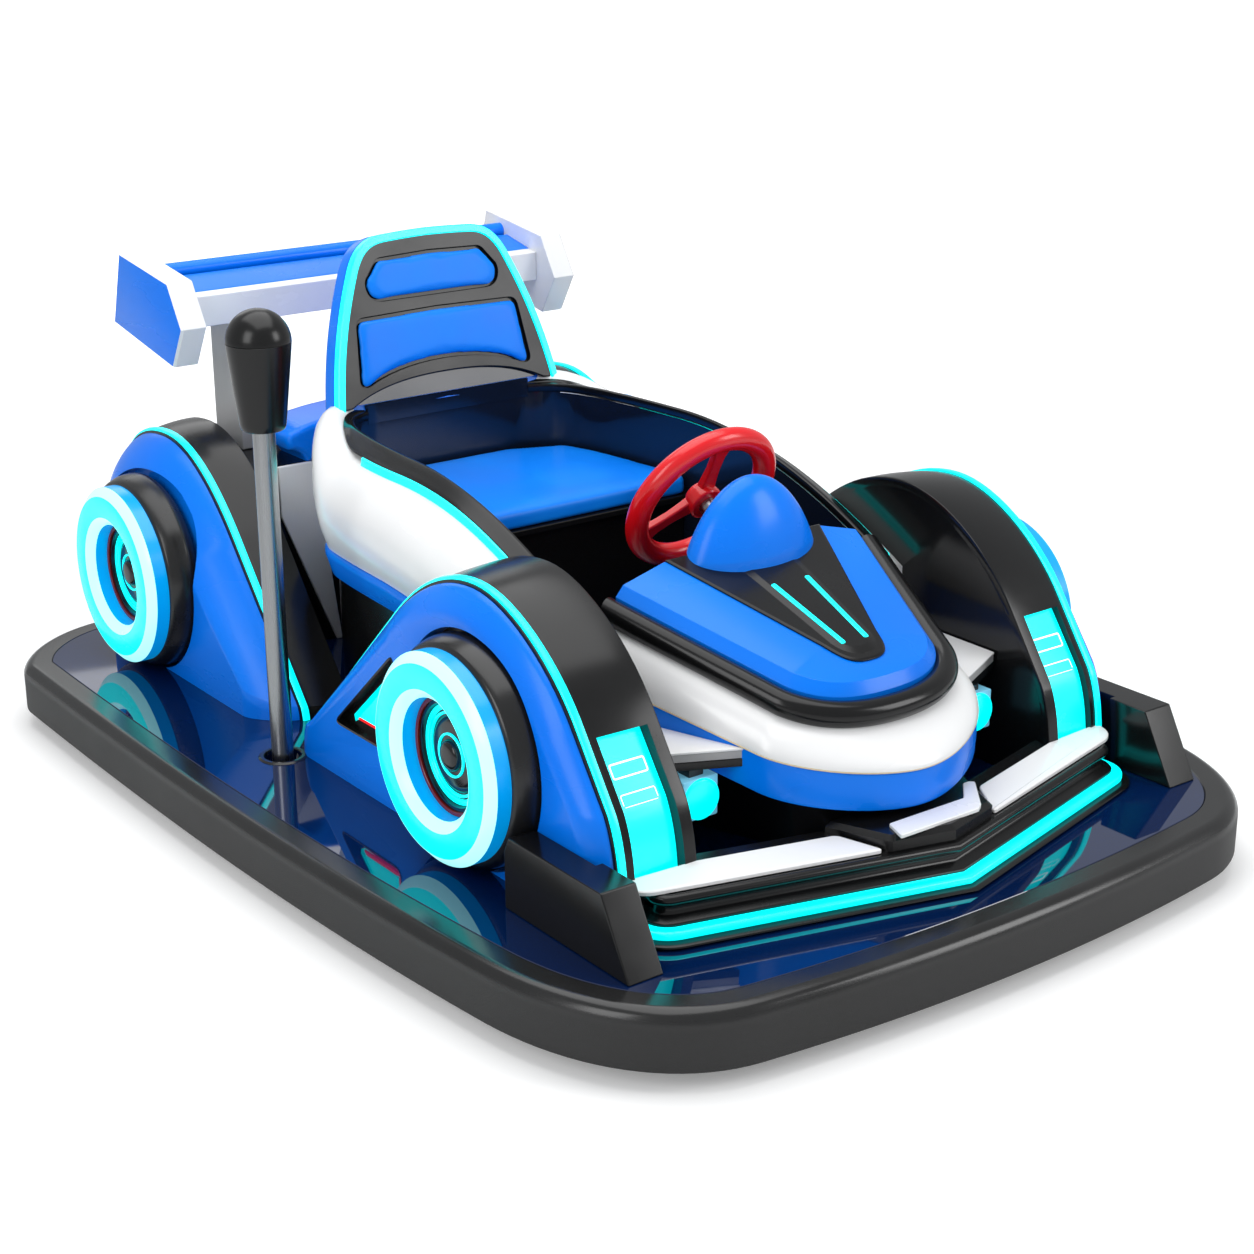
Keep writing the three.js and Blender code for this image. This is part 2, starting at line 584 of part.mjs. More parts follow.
const insertThickness = 4;
const insertRing = (rise, inset) => noseRing(-insertInset - inset, insertFront + inset, (y) => insertZ(y) + rise);
const insertSolid = loft([insertRing(gap, 1), insertRing(insertThickness, 3)]);
add('hood_insert', insertSolid.subtract(columnCut), gloss.black);

function cowlDome() {
  const globe = new THREE.SphereGeometry(1, 24, 14);
  const base = insertZ(dome.y);
  globe.scale(dome.halfWidth, dome.halfLength, dome.height);
  const whole = solidOf(globe.translate(0, dome.y, base));
  const seat = base + insertThickness + gap;
  const slope = hood.fall + insertRise;
  const reach = 2 * dome.halfLength;
  const below = prism('x', [[dome.y - reach, 0], [dome.y + reach, 0], [dome.y + reach, seat + slope * reach],
    [dome.y - reach, seat - slope * reach]], -2 * dome.halfWidth, 2 * dome.halfWidth);
  const behind = box([-2 * dome.halfWidth, dome.rearY, 0], [2 * dome.halfWidth, 0, base + 2 * dome.height]);
  return whole.subtract(below).subtract(behind).subtract(columnCut);
}
add('cowl_dome', cowlDome(), gloss.blue);

// ---- steering wheel ----------------------------------------------------------------------------
function steeringWheel() {
  const torus = solidOf(new THREE.TorusGeometry(steering.radius, steering.tube, 10, 30));
  let wheel = torus;
  const boss = new THREE.CylinderGeometry(steering.hub, steering.hub + 2, steering.boss, 24).rotateX(Math.PI / 2);
  wheel = wheel.add(solidOf(boss));
  for (let i = 0; i < steering.spokes; i += 1) {
    const angle = i * 2 * Math.PI / steering.spokes - Math.PI / 2;
    const spoke = new THREE.BoxGeometry(steering.radius, 22, 12).translate(steering.radius / 2, 0, 0);
    wheel = wheel.add(solidOf(spoke.rotateZ(angle)));
  }
  const upright = new THREE.Matrix4().makeBasis(new THREE.Vector3(1, 0, 0),
    axis.clone().cross(new THREE.Vector3(1, 0, 0)), axis);
  return geometryOf(wheel).applyMatrix4(upright.setPosition(hub));
}
add('steering_wheel', steeringWheel(), gloss.red);

// ---- steered drive wheel under the nose --------------------------------------------------------
const crownLow = 2 * drive.radius + run;
const crownTop = crownLow + drive.crown;
const canTop = crownTop + drive.thrust + drive.canWall;
function driveHousing() {
  const { canInner, canWall, stem } = drive;
  const points = [[canInner, deckTop + gap], [canInner + canWall, deckTop + gap], [canInner + canWall, canTop],
    [stem + gap, canTop], [stem + gap, canTop - canWall], [canInner, canTop - canWall], [canInner, deckTop + gap]];
  const lathe = new THREE.LatheGeometry(points.map(([r, z]) => new THREE.Vector2(r, z)), 40);
  return solidOf(lathe.rotateX(Math.PI / 2).translate(0, drive.y, 0));
}
add('drive_housing', driveHousing(), paintedSteel);

function driveYoke() {
  const { y, radius, width, stem, plate } = drive;
  const half = width / 2 + 5;
  let yoke = box([-half - plate, y - 30, crownLow], [half + plate, y + 30, crownTop]);
  for (const [, way] of sides) {
    const inner = way * half;
    const outer = way * (half + plate);
    yoke = yoke.add(box([Math.min(inner, outer), y - 24, radius - 24],
      [Math.max(inner, outer), y + 24, crownLow + 1]));
  }
  const motor = rod([half + plate - 1, y, radius + 6], [half + plate + 36, y, radius + 6], 34);
  const sprocket = rod([0, y, canTop + 5], [0, y, canTop + 13], 38, 32);
  const post = rod([0, y, crownTop - 2], [0, y, canTop + 14], stem);
  const thrust = rod([0, y, crownTop - 2], [0, y, canTop - drive.canWall - gap], stem + 14);
  const axleHole = rod([-half - plate - 5, y, radius], [half + plate + 2, y, radius], 10 + gap);
  return yoke.add(motor).add(sprocket).add(post).add(thrust).subtract(axleHole);
}
add('drive_yoke', driveYoke(), paintedSteel);

function rollingWheel(x, y, radius, width, bore, way = 1) {
  const half = width / 2;
  const points = [[bore, -half], [radius - 8, -half], [radius - 2, -half + 5], [radius, -half + 11],
    [radius, half - 11], [radius - 2, half - 5], [radius - 8, half], [bore, half], [bore, -half]];
  const lathe = new THREE.LatheGeometry(points.map(([r, z]) => new THREE.Vector2(r, z * way)), 36);
  if (way < 0) lathe.index.array.reverse();
  return solidOf(lathe.rotateZ(Math.PI / 2).translate(x, y, radius));
}

function driveWheel() {
  const { y, radius, width, plate } = drive;
  const reach = width / 2 + 5 + plate - 1;
  const tyre = rollingWheel(0, y, radius, width, 9.5);
  return tyre.add(rod([-reach, y, radius], [reach, y, radius], 10));
}
add('drive_wheel', driveWheel(), rubber);

// ---- rear axle and its two wheels --------------------------------------------------------------
const axleEnd = rearWheel.x + rearWheel.width / 2 + 6;
add('rear_axle', rod([-axleEnd, rearWheel.y, rearWheel.radius], [axleEnd, rearWheel.y, rearWheel.radius],
  rearWheel.axle), steel);
for (const [side, way] of sides) {
  add(`rear_wheel_${side}`, rollingWheel(way * rearWheel.x, rearWheel.y, rearWheel.radius, rearWheel.width,
    rearWheel.axle + gap), rubber);
}

// ---- front wing, end plates, splitter, nose plates and lamps -----------------------------------
const wingStations = [-1, 0, 1].map((s) => ({ x: s * wing.halfSpan,
  y: wing.apexY + Math.abs(s) * wing.halfSpan * wing.sweep }));
function wingSweep(section, pick = wingStations) {
  const rings = pick.map(({ x, y }) => section.map(([forward, h]) => [x, y - forward, deckTop + h]));
  return loft(rings, ([, y, z]) => [y, z]);
}
const lipSection = [[-wing.deep, gap], [24, gap], [38, 4], [41, 9], [36, 14], [18, 15], [20, 34], [14, 36], [-4, 38],
  [-4, 44], [-1, 48], [0, 56], [-4, 61], [-wing.shelfFront, wing.shelfLow], [-wing.shelfBack, wing.shelfHigh],
  [-wing.deep, wing.shelfHigh - 11]];
add('front_wing', clearOfFenders(wingSweep(lipSection)), gloss.black);

for (const [side, way] of sides) {
  const rise = (wing.shelfHigh - wing.shelfLow) / (wing.shelfBack - wing.shelfFront);
  const front = [-wingCover.front, wing.shelfLow + rise * (wingCover.front - wing.shelfFront) + gap];
  const back = [-wing.shelfBack, wing.shelfHigh + gap];
  const strip = [back, front, [front[0], front[1] + wingCover.thickness], [back[0], back[1] + wingCover.thickness]];
  const pick = [wingCover.from, wingCover.to].map((x) => ({ x: way * x, y: wing.apexY + x * wing.sweep }));
  add(`wing_cover_${side}`, clearOfFenders(wingSweep(strip, pick)), gloss.white);
  const { inner, outer, frontLow, frontTop, rear, height } = endPlate;
  const outline = [[frontLow, deckTop + gap], [frontTop, deckTop + height], [rear, deckTop + height],
    [rear, deckTop + gap]];
  const [from, to] = way > 0 ? [inner, outer] : [-outer, -inner];
  const besideTyre = rod([way * wheelLight.inner, wheelLight.y[0], wheelHeight],
    [way * (endPlate.outer + 5), wheelLight.y[0], wheelHeight], wheelLight.radius + 2, 40);
  add(`front_end_plate_${side}`, clearOfFenders(prism('x', outline, from, to).subtract(besideTyre)), gloss.black);
  const [light0, light1] = [way * noseLight.x - noseLight.box, way * noseLight.x + noseLight.box];
  const lampZ = deckTop + noseLight.height;
  const hang = box([way * noseLight.x - 12, noseLight.y + 10, lampZ + noseLight.box - 1],
    [way * noseLight.x + 12, noseLight.y + 34, deckTop + nosePlate.top - nosePlate.thickness - gap]);
  const housing = box([light0, noseLight.y, lampZ - noseLight.box],
    [light1, noseLight.y + noseLight.depth, lampZ + noseLight.box]);
  const lens = rod([way * noseLight.x, noseLight.y - 6, lampZ], [way * noseLight.x, noseLight.y + 2, lampZ],
    noseLight.radius, 32);
  add(`nose_light_${side}`, housing.add(hang).add(lens), gloss.cyan);
}

const bandCut = loft([noseRing(nose.spread - 2 + gap, nose.frontY + 3 - gap, (y) => noseZ(y) - 2.4 * nose.band),
  noseRing(nose.spread - 2 + gap, nose.frontY + 3 - gap, (y) => noseZ(y) + 60)]);
for (const [side, way] of sides) {
  const x1 = fender.inner - 2 * gap;
  const [from, to] = way > 0 ? [nosePlate.innerX, x1] : [-x1, -nosePlate.innerX];
  const plate = box([from, nosePlate.frontY, deckTop + nosePlate.top - nosePlate.thickness],
    [to, hood.rearY, deckTop + nosePlate.top]);
  add(`nose_plate_${side}`, plate.subtract(bandCut), gloss.white);
}

const splitterHalf = 96;
const splitterOutline = [[nose.frontY + 60, deckTop + 40], [wing.apexY + 62, deckTop + 40],
  [wing.apexY + 50, deckTop + wing.shelfHigh + 1 + gap], [nose.frontY + 20, deckTop + wing.shelfHigh + 11],
  [nose.frontY + 60, deckTop + wing.shelfHigh + 11]];
const splitter = prism('x', splitterOutline, -splitterHalf, splitterHalf);
const behindWing = -wing.deep - gap;
const wingCut = wingSweep([[behindWing, -5], [60, -5], [60, wing.shelfHigh], [-wing.shelfBack, wing.shelfHigh + gap],
  [behindWing, wing.shelfHigh - 11 + gap]]);
add('splitter', splitter.subtract(wingCut).subtract(noseBase), gloss.black);

// ---- tail, posts and rear wing -----------------------------------------------------------------
const tailOutline = [[tail.frontY, deckTop + gap], [tail.rearY - 20, deckTop + gap], [tail.rearY, deckTop + 40],
  [tail.rearY - 40, deckTop + tail.height - 60], [tail.rearY - 70, deckTop + tail.height],
  [tail.frontY, deckTop + tail.height]];
add('tail_housing', clearOfFenders(prism('x', tailOutline, -fender.inner + gap, fender.inner - gap)), gloss.black);

// The tail's front carries two pointed panels. The cover behind the seat has a flared lower lip.
const panelOutline = [[262, deckTop + tail.height], [198, deckTop + tail.height], [160, deckTop + gap],
  [170, deckTop + gap], [262, deckTop + 231]];
for (const [side, way] of sides) {
  const outline = panelOutline.map(([x, z]) => [way * x, z]);
  const panel = prism('y', way > 0 ? outline.reverse() : outline, tail.frontY - gap - tail.panel, tail.frontY - gap);
  add(`tail_panel_${side}`, panel, gloss.white);
}

function tailCoverSolid() {
  const { halfFoot, halfLip, halfTop, lipHeight, crown, lip } = tailCover;
  const foot = deckTop + tail.height + gap;
  const lipTop = deckTop + lipHeight;
  const top = deckTop + crown;
  const half = path([0, foot], [[[halfFoot, foot]], [[halfFoot + 2, lipTop - 8], [halfLip, lipTop - lip]],
    [[halfLip + 6, lipTop], [halfLip - 6, lipTop + 4]], [[halfTop + 10, lipTop + 16], [halfTop - 30, top - 8]],
    [[100, top], [0, top]]], 4);
  return prism('y', mirrored(half), tubRear + gap, tailCover.rearY);
}
const tubRear = cockpit.rearY + 2 + bulge;
add('tail_cover', tailCoverSolid(), gloss.blue);

const wingZ = (h) => deckTop + h;
const planeOutline = [[rearWing.frontY, wingZ(rearWing.barLow)], [rearWing.frontY, wingZ(rearWing.barTop)],
  [rearWing.frontY + 100, wingZ(rearWing.lipTop - 12)], [rearWing.lipY - 14, wingZ(rearWing.lipTop)],
  [rearWing.lipY, wingZ(rearWing.lipTop - 10)], [rearWing.lipY - 2, wingZ(rearWing.lipTop - 26)],
  [rearWing.lipY - 22, wingZ(rearWing.lipTop - 32)], [rearWing.frontY + 60, wingZ(rearWing.barTop - 18)],
  [rearWing.frontY + 34, wingZ(rearWing.barLow)]];
add('rear_wing', prism('x', planeOutline, -rearWing.halfSpan + gap, rearWing.halfSpan - gap), gloss.blue);

const postGrey = finish('#9a9a9a', 0.4);
const plateOutline = [[801, wingZ(632)], [628, wingZ(608)], [587, wingZ(540)], [627, wingZ(473)], [840, wingZ(512)]];
for (const [side, way] of sides) {
  const { halfSpan, plate } = rearWing;
  const [from, to] = way > 0 ? [halfSpan, halfSpan + plate] : [-halfSpan - plate, -halfSpan];
  add(`rear_end_plate_${side}`, prism('x', plateOutline, from, to), gloss.white);
  const [low, high] = way > 0 ? [post.inner, post.outer] : [-post.outer, -post.inner];
  const upright = box([low, post.frontY, deckTop + tail.height - 70], [high, post.rearY, wingZ(rearWing.lipTop)]);
  const aboveTail = prism('x', [...tailOutline.slice(3, 6), [tail.frontY, 0], [tail.rearY, 0]].map(([y, z]) =>
    [y, z > deckTop ? z + gap : z]), low - 1, high + 1);
  const wingUnder = prism('x', planeOutline.map(([y, z]) => [y, z - gap]), low - 1, high + 1);
  const overWing = prism('x', [[post.frontY - 1, wingZ(rearWing.barLow) - gap],
    ...planeOutline.slice(-3).reverse().map(([y, z]) => [y, z - gap]), [rearWing.lipY, 900], [post.frontY - 1, 900]],
  low - 1, high + 1);
  add(`wing_post_${side}`, upright.subtract(aboveTail).subtract(wingUnder).subtract(overWing), postGrey);
}

// ---- hand lever on the driver's right ----------------------------------------------------------
const pivotZ = deckTop + lever.pivot;
const leverPivot = [lever.x, lever.y, pivotZ];
const gripSocket = 20;            // how far the tube reaches into the grip
function leverTube() {
  const socketTop = deckTop + lever.top - lever.gripHeight + gripSocket;
  const tube = rod([lever.x, lever.y, pivotZ - lever.tail], [lever.x, lever.y, socketTop], lever.radius);
  const pin = rod([lever.x - 30, lever.y, pivotZ], [lever.x + 30, lever.y, pivotZ], lever.pin, 16);
  return tube.add(pin);
}
add('lever_tube', leverTube(), steel);

function leverGrip() {
  const { gripRadius: r, gripHeight: h } = lever;
  const socket = gripSocket + gap;
  const points = [[lever.radius + gap, 0], [30, 0], [33, 6], [r - 3, h * 0.6], [r, h * 0.75], [r - 4, h * 0.88],
    [r * 0.62, h * 0.97], [0, h], [0, socket], [lever.radius + gap, socket], [lever.radius + gap, 0]];
  const lathe = new THREE.LatheGeometry(points.map(([x, z]) => new THREE.Vector2(x, z)), 24);
  lathe.rotateX(Math.PI / 2);
  return solidOf(lathe.translate(lever.x, lever.y, deckTop + lever.top - h));
}
add('lever_grip', leverGrip(), gloss.black);

function leverBracket() {
  const low = railBottom;
  let bracket = box([lever.x - 36, lever.y - 34, low], [lever.x + 36, lever.y + 34, low + 6]);
  for (const way of [-1, 1]) {
    const x = lever.x + way * 28;
    bracket = bracket.add(box([x - 5, lever.y - 34, low], [x + 5, lever.y + 34, railTop]));
  }
  return bracket;
}
const pinHole = rod([lever.x - 40, lever.y, pivotZ], [lever.x + 40, lever.y, pivotZ], lever.pin + gap);
add('lever_bracket', leverBracket().subtract(pinHole), paintedSteel);

export default car;
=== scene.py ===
import json
import math

import bmesh
import bpy
from mathutils import Matrix, Vector

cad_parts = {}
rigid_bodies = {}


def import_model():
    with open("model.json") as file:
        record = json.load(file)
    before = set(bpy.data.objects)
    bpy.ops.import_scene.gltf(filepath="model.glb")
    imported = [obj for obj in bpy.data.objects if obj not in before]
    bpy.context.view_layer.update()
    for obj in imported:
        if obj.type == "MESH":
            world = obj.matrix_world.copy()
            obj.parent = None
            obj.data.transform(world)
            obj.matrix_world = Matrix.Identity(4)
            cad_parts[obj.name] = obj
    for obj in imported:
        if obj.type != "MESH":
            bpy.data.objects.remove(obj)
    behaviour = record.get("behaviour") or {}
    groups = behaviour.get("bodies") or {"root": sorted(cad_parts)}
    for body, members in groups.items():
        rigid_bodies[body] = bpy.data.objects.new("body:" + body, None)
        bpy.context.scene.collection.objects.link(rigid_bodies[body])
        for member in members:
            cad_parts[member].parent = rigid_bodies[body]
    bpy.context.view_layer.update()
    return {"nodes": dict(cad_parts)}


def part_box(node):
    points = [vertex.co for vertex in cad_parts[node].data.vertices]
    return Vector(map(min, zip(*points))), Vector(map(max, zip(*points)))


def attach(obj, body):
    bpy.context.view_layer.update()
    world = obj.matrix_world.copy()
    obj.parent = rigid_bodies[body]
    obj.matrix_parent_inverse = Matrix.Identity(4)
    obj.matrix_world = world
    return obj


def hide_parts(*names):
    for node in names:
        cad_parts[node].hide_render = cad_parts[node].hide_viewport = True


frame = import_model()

scene = bpy.context.scene
scene.view_settings.view_transform = "Standard"

# ---- camera, floor and lamps -------------------------------------------------------------------
# A long lens from the front right corner, a plain pale floor, and large soft lamps above and at
# the sides, as in a product studio.
camera_data = bpy.data.cameras.new("camera")
camera_data.lens = 64.58
camera_data.sensor_width = 36
camera = bpy.data.objects.new("camera", camera_data)
scene.collection.objects.link(camera)
scene.camera = camera
camera.location = (-1.9054, -2.6281, 1.3872)
aim = Vector((0.0141, -0.0529, 0.2472)) - camera.location
roll = Matrix.Rotation(math.radians(-0.25), 4, "Z")
camera.rotation_euler = (aim.to_track_quat("-Z", "Y").to_matrix().to_4x4() @ roll).to_euler()


def feed(tree, node, inputs):
    """Sets inputs of a shader node to values, or links them to what feeds them."""
    for key, value in inputs.items():
        if isinstance(value, bpy.types.NodeSocket):
            tree.links.new(value, node.inputs[key])
        else:
            node.inputs[key].default_value = value
    return node


def put(tree, kind, inputs={}, **settings):
    """Adds a shader node. Settings are its own properties."""
    node = tree.nodes.new("ShaderNode" + kind)
    for key, value in settings.items():
        setattr(node, key, value)
    return feed(tree, node, inputs)


def whiter_for_camera(tree, output, plain, whiter):
    """Shows a whiter shader to the camera's own rays, and the plain one to all others."""
    ray = put(tree, "LightPath").outputs["Is Camera Ray"]
    both = put(tree, "MixShader", {0: ray, 1: plain.outputs[0], 2: whiter.outputs[0]})
    feed(tree, tree.nodes[output], {"Surface": both.outputs[0]})


world = bpy.data.worlds.new("studio")
scene.world = world
world.use_nodes = True
tree = world.node_tree
sky = feed(tree, tree.nodes["Background"], {"Color": (0.96, 0.98, 1.0, 1), "Strength": 0.5})
seen = put(tree, "Background", {"Color": (1, 1, 1, 1), "Strength": 1.0})
whiter_for_camera(tree, "World Output", sky, seen)


def lamp(name, place, target, width, height, power):
    data = bpy.data.lights.new(name, "AREA")
    data.shape = "RECTANGLE"
    data.size = width
    data.size_y = height
    data.energy = power
    light = bpy.data.objects.new(name, data)
    light.location = place
    light.rotation_euler = (Vector(target) - Vector(place)).to_track_quat("-Z", "Y").to_euler()
    scene.collection.objects.link(light)


lamp("overhead", (0, 0.2, 3.2), (0, 0, 0.3), 3.0, 3.6, 74)
lamp("left_front", (-3.6, -1.2, 2.2), (0, 0, 0.3), 1.6, 2.4, 45)
lamp("right_front", (2.6, -3.4, 2.2), (0, 0, 0.3), 1.6, 2.0, 52)
lamp("behind", (1.0, 4.0, 2.4), (0, 0.3, 0.4), 2.4, 1.8, 14)


def select_none():
    if bpy.context.mode != "OBJECT":
        bpy.ops.object.mode_set(mode="OBJECT")
    bpy.ops.object.select_all(action="DESELECT")


def start(kind, name, **where):
    """Adds a primitive with nothing else selected, and names it."""
    select_none()
    getattr(bpy.ops.mesh, f"primitive_{kind}_add")(**where)
    piece = bpy.context.object
    piece.name = name
    piece.data.name = name
    return piece


floor = start("plane", "floor", size=60)
floor_finish = bpy.data.materials.new("floor")
floor_finish.use_nodes = True
tree = floor_finish.node_tree
matt = put(tree, "BsdfDiffuse", {"Color": (0.88, 0.88, 0.88, 1)})
spot = put(tree, "TexCoord").outputs["Object"]
away = put(tree, "VectorMath", {0: spot}, operation="LENGTH")
glow_from, glow_to = 1.6, 4.5
paler = put(tree, "MapRange", {"Value": away.outputs["Value"], "From Min": glow_from, "From Max": glow_to,
    "To Min": 0.22, "To Max": 1.0})
glow = put(tree, "Emission", {"Strength": paler.outputs["Result"]})
lit = put(tree, "AddShader", {0: matt.outputs[0], 1: glow.outputs[0]})
whiter_for_camera(tree, "Material Output", matt, lit)
floor.data.materials.append(floor_finish)

# ---- rubber bumper ring ------------------------------------------------------------------------
# One moulded rubber band round the whole platform, with a big rounded top edge and a flat polished
# lip that covers the edge of the deck. It is pressed over the steel frame.


def only(piece):
    """Leaves this piece alone selected, in object mode."""
    select_none()
    piece.select_set(True)
    bpy.context.view_layer.objects.active = piece
    return piece


def path(first, *steps, divisions=12):
    """Points along straights and curves. A step is its end, with one or two handles before it."""
    points = [Vector(first)]
    for step in steps:
        handles = [points[-1]] + [Vector(p) for p in step]
        count = 1 if len(handles) == 2 else divisions
        for i in range(1, count + 1):
            level = handles
            while len(level) > 1:
                level = [a.lerp(b, i / count) for a, b in zip(level, level[1:])]
            points.append(level[0])
    return points


def mirrored(half):
    """A half outline that begins and ends on the middle line, and its mirror image."""
    return list(half) + [Vector((-p[0], *p[1:])) for p in reversed(half) if p[0] > 1e-5]


def grown(outline, distance):
    """A closed flat outline moved outwards by a distance, or inwards if it is negative."""
    following = outline[1:] + outline[:1]
    turn = sum(a.x * b.y - b.x * a.y for a, b in zip(outline, following))
    side = 1 if turn > 0 else -1
    moved = []
    for before, here, after in zip(outline[-1:] + outline[:-1], outline, following):
        first = (here - before).normalized()
        second = (after - here).normalized()
        normal = Vector((first.y + second.y, -first.x - second.x)) * side / 2
        moved.append(here + normal * distance / max(normal.length_squared, 0.3))
    return moved


def draw_out(name, rings, joined=False):
    """Sets a circle's corners on the first ring of points and extrudes them from ring to ring.
    Both ends are closed with a flat face, or the last ring is joined to the first."""
    count = len(rings[0])
    piece = start("circle", name, vertices=count)
    bpy.ops.object.mode_set(mode="EDIT")
    for number, ring in enumerate(rings):
        if number:
            bpy.ops.mesh.extrude_edges_move()
        mesh = bmesh.from_edit_mesh(piece.data)
        mesh.verts.ensure_lookup_table()
        for corner, point in zip(mesh.verts[number * count:], ring):
            corner.co = point
    bpy.ops.mesh.select_all(action="DESELECT")
    bpy.ops.mesh.select_mode(type="EDGE")
    bpy.ops.mesh.select_non_manifold(extend=False, use_wire=False, use_multi_face=False,
        use_non_contiguous=False, use_verts=False)
    if joined:
        bpy.ops.mesh.bridge_edge_loops()
    else:
        bpy.ops.mesh.edge_face_add()
    bpy.ops.mesh.select_mode(type="VERT")
    bpy.ops.mesh.select_all(action="SELECT")
    bpy.ops.mesh.normals_make_consistent(inside=False)
    bpy.ops.object.mode_set(mode="OBJECT")
    return piece


def soften(piece, width=0.0, segments=3, angle=30):
    """Rounds the edges sharper than an angle and shades the rest smooth, with flat faces flat."""
    only(piece)
    if width:
        rounding = piece.modifiers.new("rounding", "BEVEL")
        rounding.width = width
        rounding.segments = segments
        rounding.limit_method = "ANGLE"
        rounding.angle_limit = math.radians(angle)
        bpy.ops.object.modifier_apply(modifier=rounding.name)
    bpy.ops.object.shade_smooth_by_angle(angle=math.radians(angle))
    weighted = piece.modifiers.new("flat_faces", "WEIGHTED_NORMAL")
    weighted.keep_sharp = True
    bpy.ops.object.modifier_apply(modifier=weighted.name)
    return piece


def register(piece, slot, *nodes, body="car"):
    """Attaches a piece to its body and hides the construction pieces that it stands for. The slot is not
    used.
    """
    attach(piece, body)
    if nodes:
        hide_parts(*nodes)
    return piece


def settle(piece, finish, slot, *nodes, body="car"):
    """Gives a piece its finish, and registers it."""
    piece.data.materials.append(finish)
    return register(piece, slot, *nodes, body=body)


def node_group(name, inputs, outputs):
    """An empty shader group with plain number sockets and a vector called Place."""
    group = bpy.data.node_groups.new(name, "ShaderNodeTree")
    group.interface.new_socket(name="Place", in_out="INPUT", socket_type="NodeSocketVector")
    for label, value in inputs.items():
        group.interface.new_socket(name=label, in_out="INPUT",
            socket_type="NodeSocketFloat").default_value = value
    for label in outputs:
        group.interface.new_socket(name=label, in_out="OUTPUT", socket_type="NodeSocketFloat")
    return group, group.nodes.new("NodeGroupInput"), group.nodes.new("NodeGroupOutput")


# Fine grain of a moulded or cast surface, with soft uneven patches.
grain_group, here, there = node_group("fine_grain", {"Grain": 900.0, "Patches": 6.0}, ("Height", "Patch"))
fine = put(grain_group, "TexNoise", {"Vector": here.outputs["Place"], "Scale": here.outputs["Grain"],
    "Detail": 3.0})
pits = put(grain_group, "TexVoronoi", {"Vector": here.outputs["Place"], "Scale": here.outputs["Grain"]})
rough = put(grain_group, "Math", {0: fine.outputs["Fac"], 1: pits.outputs["Distance"]}, operation="ADD")
patch = put(grain_group, "TexNoise", {"Vector": here.outputs["Place"], "Scale": here.outputs["Patches"],
    "Detail": 4.0})
soft = put(grain_group, "MapRange", {"Value": patch.outputs["Fac"], "From Min": 0.35, "From Max": 0.7})
feed(grain_group, there, {"Height": rough.outputs[0], "Patch": soft.outputs["Result"]})

# The faint ripple of a polished skin, and the wiped-over marks that dull it here and there.
skin_group, here, there = node_group("polished_skin", {"Ripple": 14.0, "Marks": 5.0},
    ("Height", "Mark", "Tone"))
wave = put(skin_group, "TexNoise", {"Vector": here.outputs["Place"], "Scale": here.outputs["Ripple"],
    "Detail": 1.0})
peel = put(skin_group, "TexNoise", {"Vector": here.outputs["Place"], "Scale": 420.0, "Detail": 1.0})
weak = put(skin_group, "Math", {0: peel.outputs["Fac"], 1: 0.025}, operation="MULTIPLY")
total = put(skin_group, "Math", {0: wave.outputs["Fac"], 1: weak.outputs[0]}, operation="ADD")
stretch = put(skin_group, "Mapping", {"Vector": here.outputs["Place"], "Scale": (1.0, 0.4, 1.6)})
wipe = put(skin_group, "TexNoise", {"Vector": stretch.outputs[0], "Scale": here.outputs["Marks"],
    "Detail": 6.0})
mark = put(skin_group, "MapRange", {"Value": wipe.outputs["Fac"], "From Min": 0.42, "From Max": 0.72})
cloud = put(skin_group, "TexNoise", {"Vector": here.outputs["Place"], "Scale": 2.2, "Detail": 2.0})
tone = put(skin_group, "MapRange", {"Value": cloud.outputs["Fac"], "From Min": 0.3, "From Max": 0.7})
feed(skin_group, there, {"Height": total.outputs[0], "Mark": mark.outputs["Result"],
    "Tone": tone.outputs["Result"]})


def finish_tree(name):
    """A new material, its tree, its shader and its object coordinates."""
    material = bpy.data.materials.new(name)
    material.use_nodes = True
    tree = material.node_tree
    place = put(tree, "TexCoord").outputs["Object"]
    return material, tree, tree.nodes["Principled BSDF"], place


def grained(name, dark, pale, roughness, grain=900.0, bump=0.15, distance=0.0004, patches=6.0):
    """A moulded or cast material with a fine grain and uneven patches."""
    material, tree, shader, place = finish_tree(name)
    skin = put(tree, "Group", {"Place": place, "Grain": grain, "Patches": patches}, node_tree=grain_group)
    colour = put(tree, "Mix", {0: skin.outputs["Patch"], 6: (*dark, 1), 7: (*pale, 1)}, data_type="RGBA")
    dull = put(tree, "MapRange", {"Value": skin.outputs["Patch"], "To Min": roughness[0],
        "To Max": roughness[1]})
    relief = put(tree, "Bump", {"Strength": bump, "Distance": distance, "Height": skin.outputs["Height"]})
    feed(tree, shader, {"Base Color": colour.outputs[2], "Roughness": dull.outputs["Result"],
        "Normal": relief.outputs[0]})
    return material


ring_low, ring_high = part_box("bumper_ring")
deck_low, deck_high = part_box("deck_plate")
deck_top = deck_high.z
half_length, half_width = ring_high.y, ring_high.x
lip_width = 0.047
edge_radius = 0.02


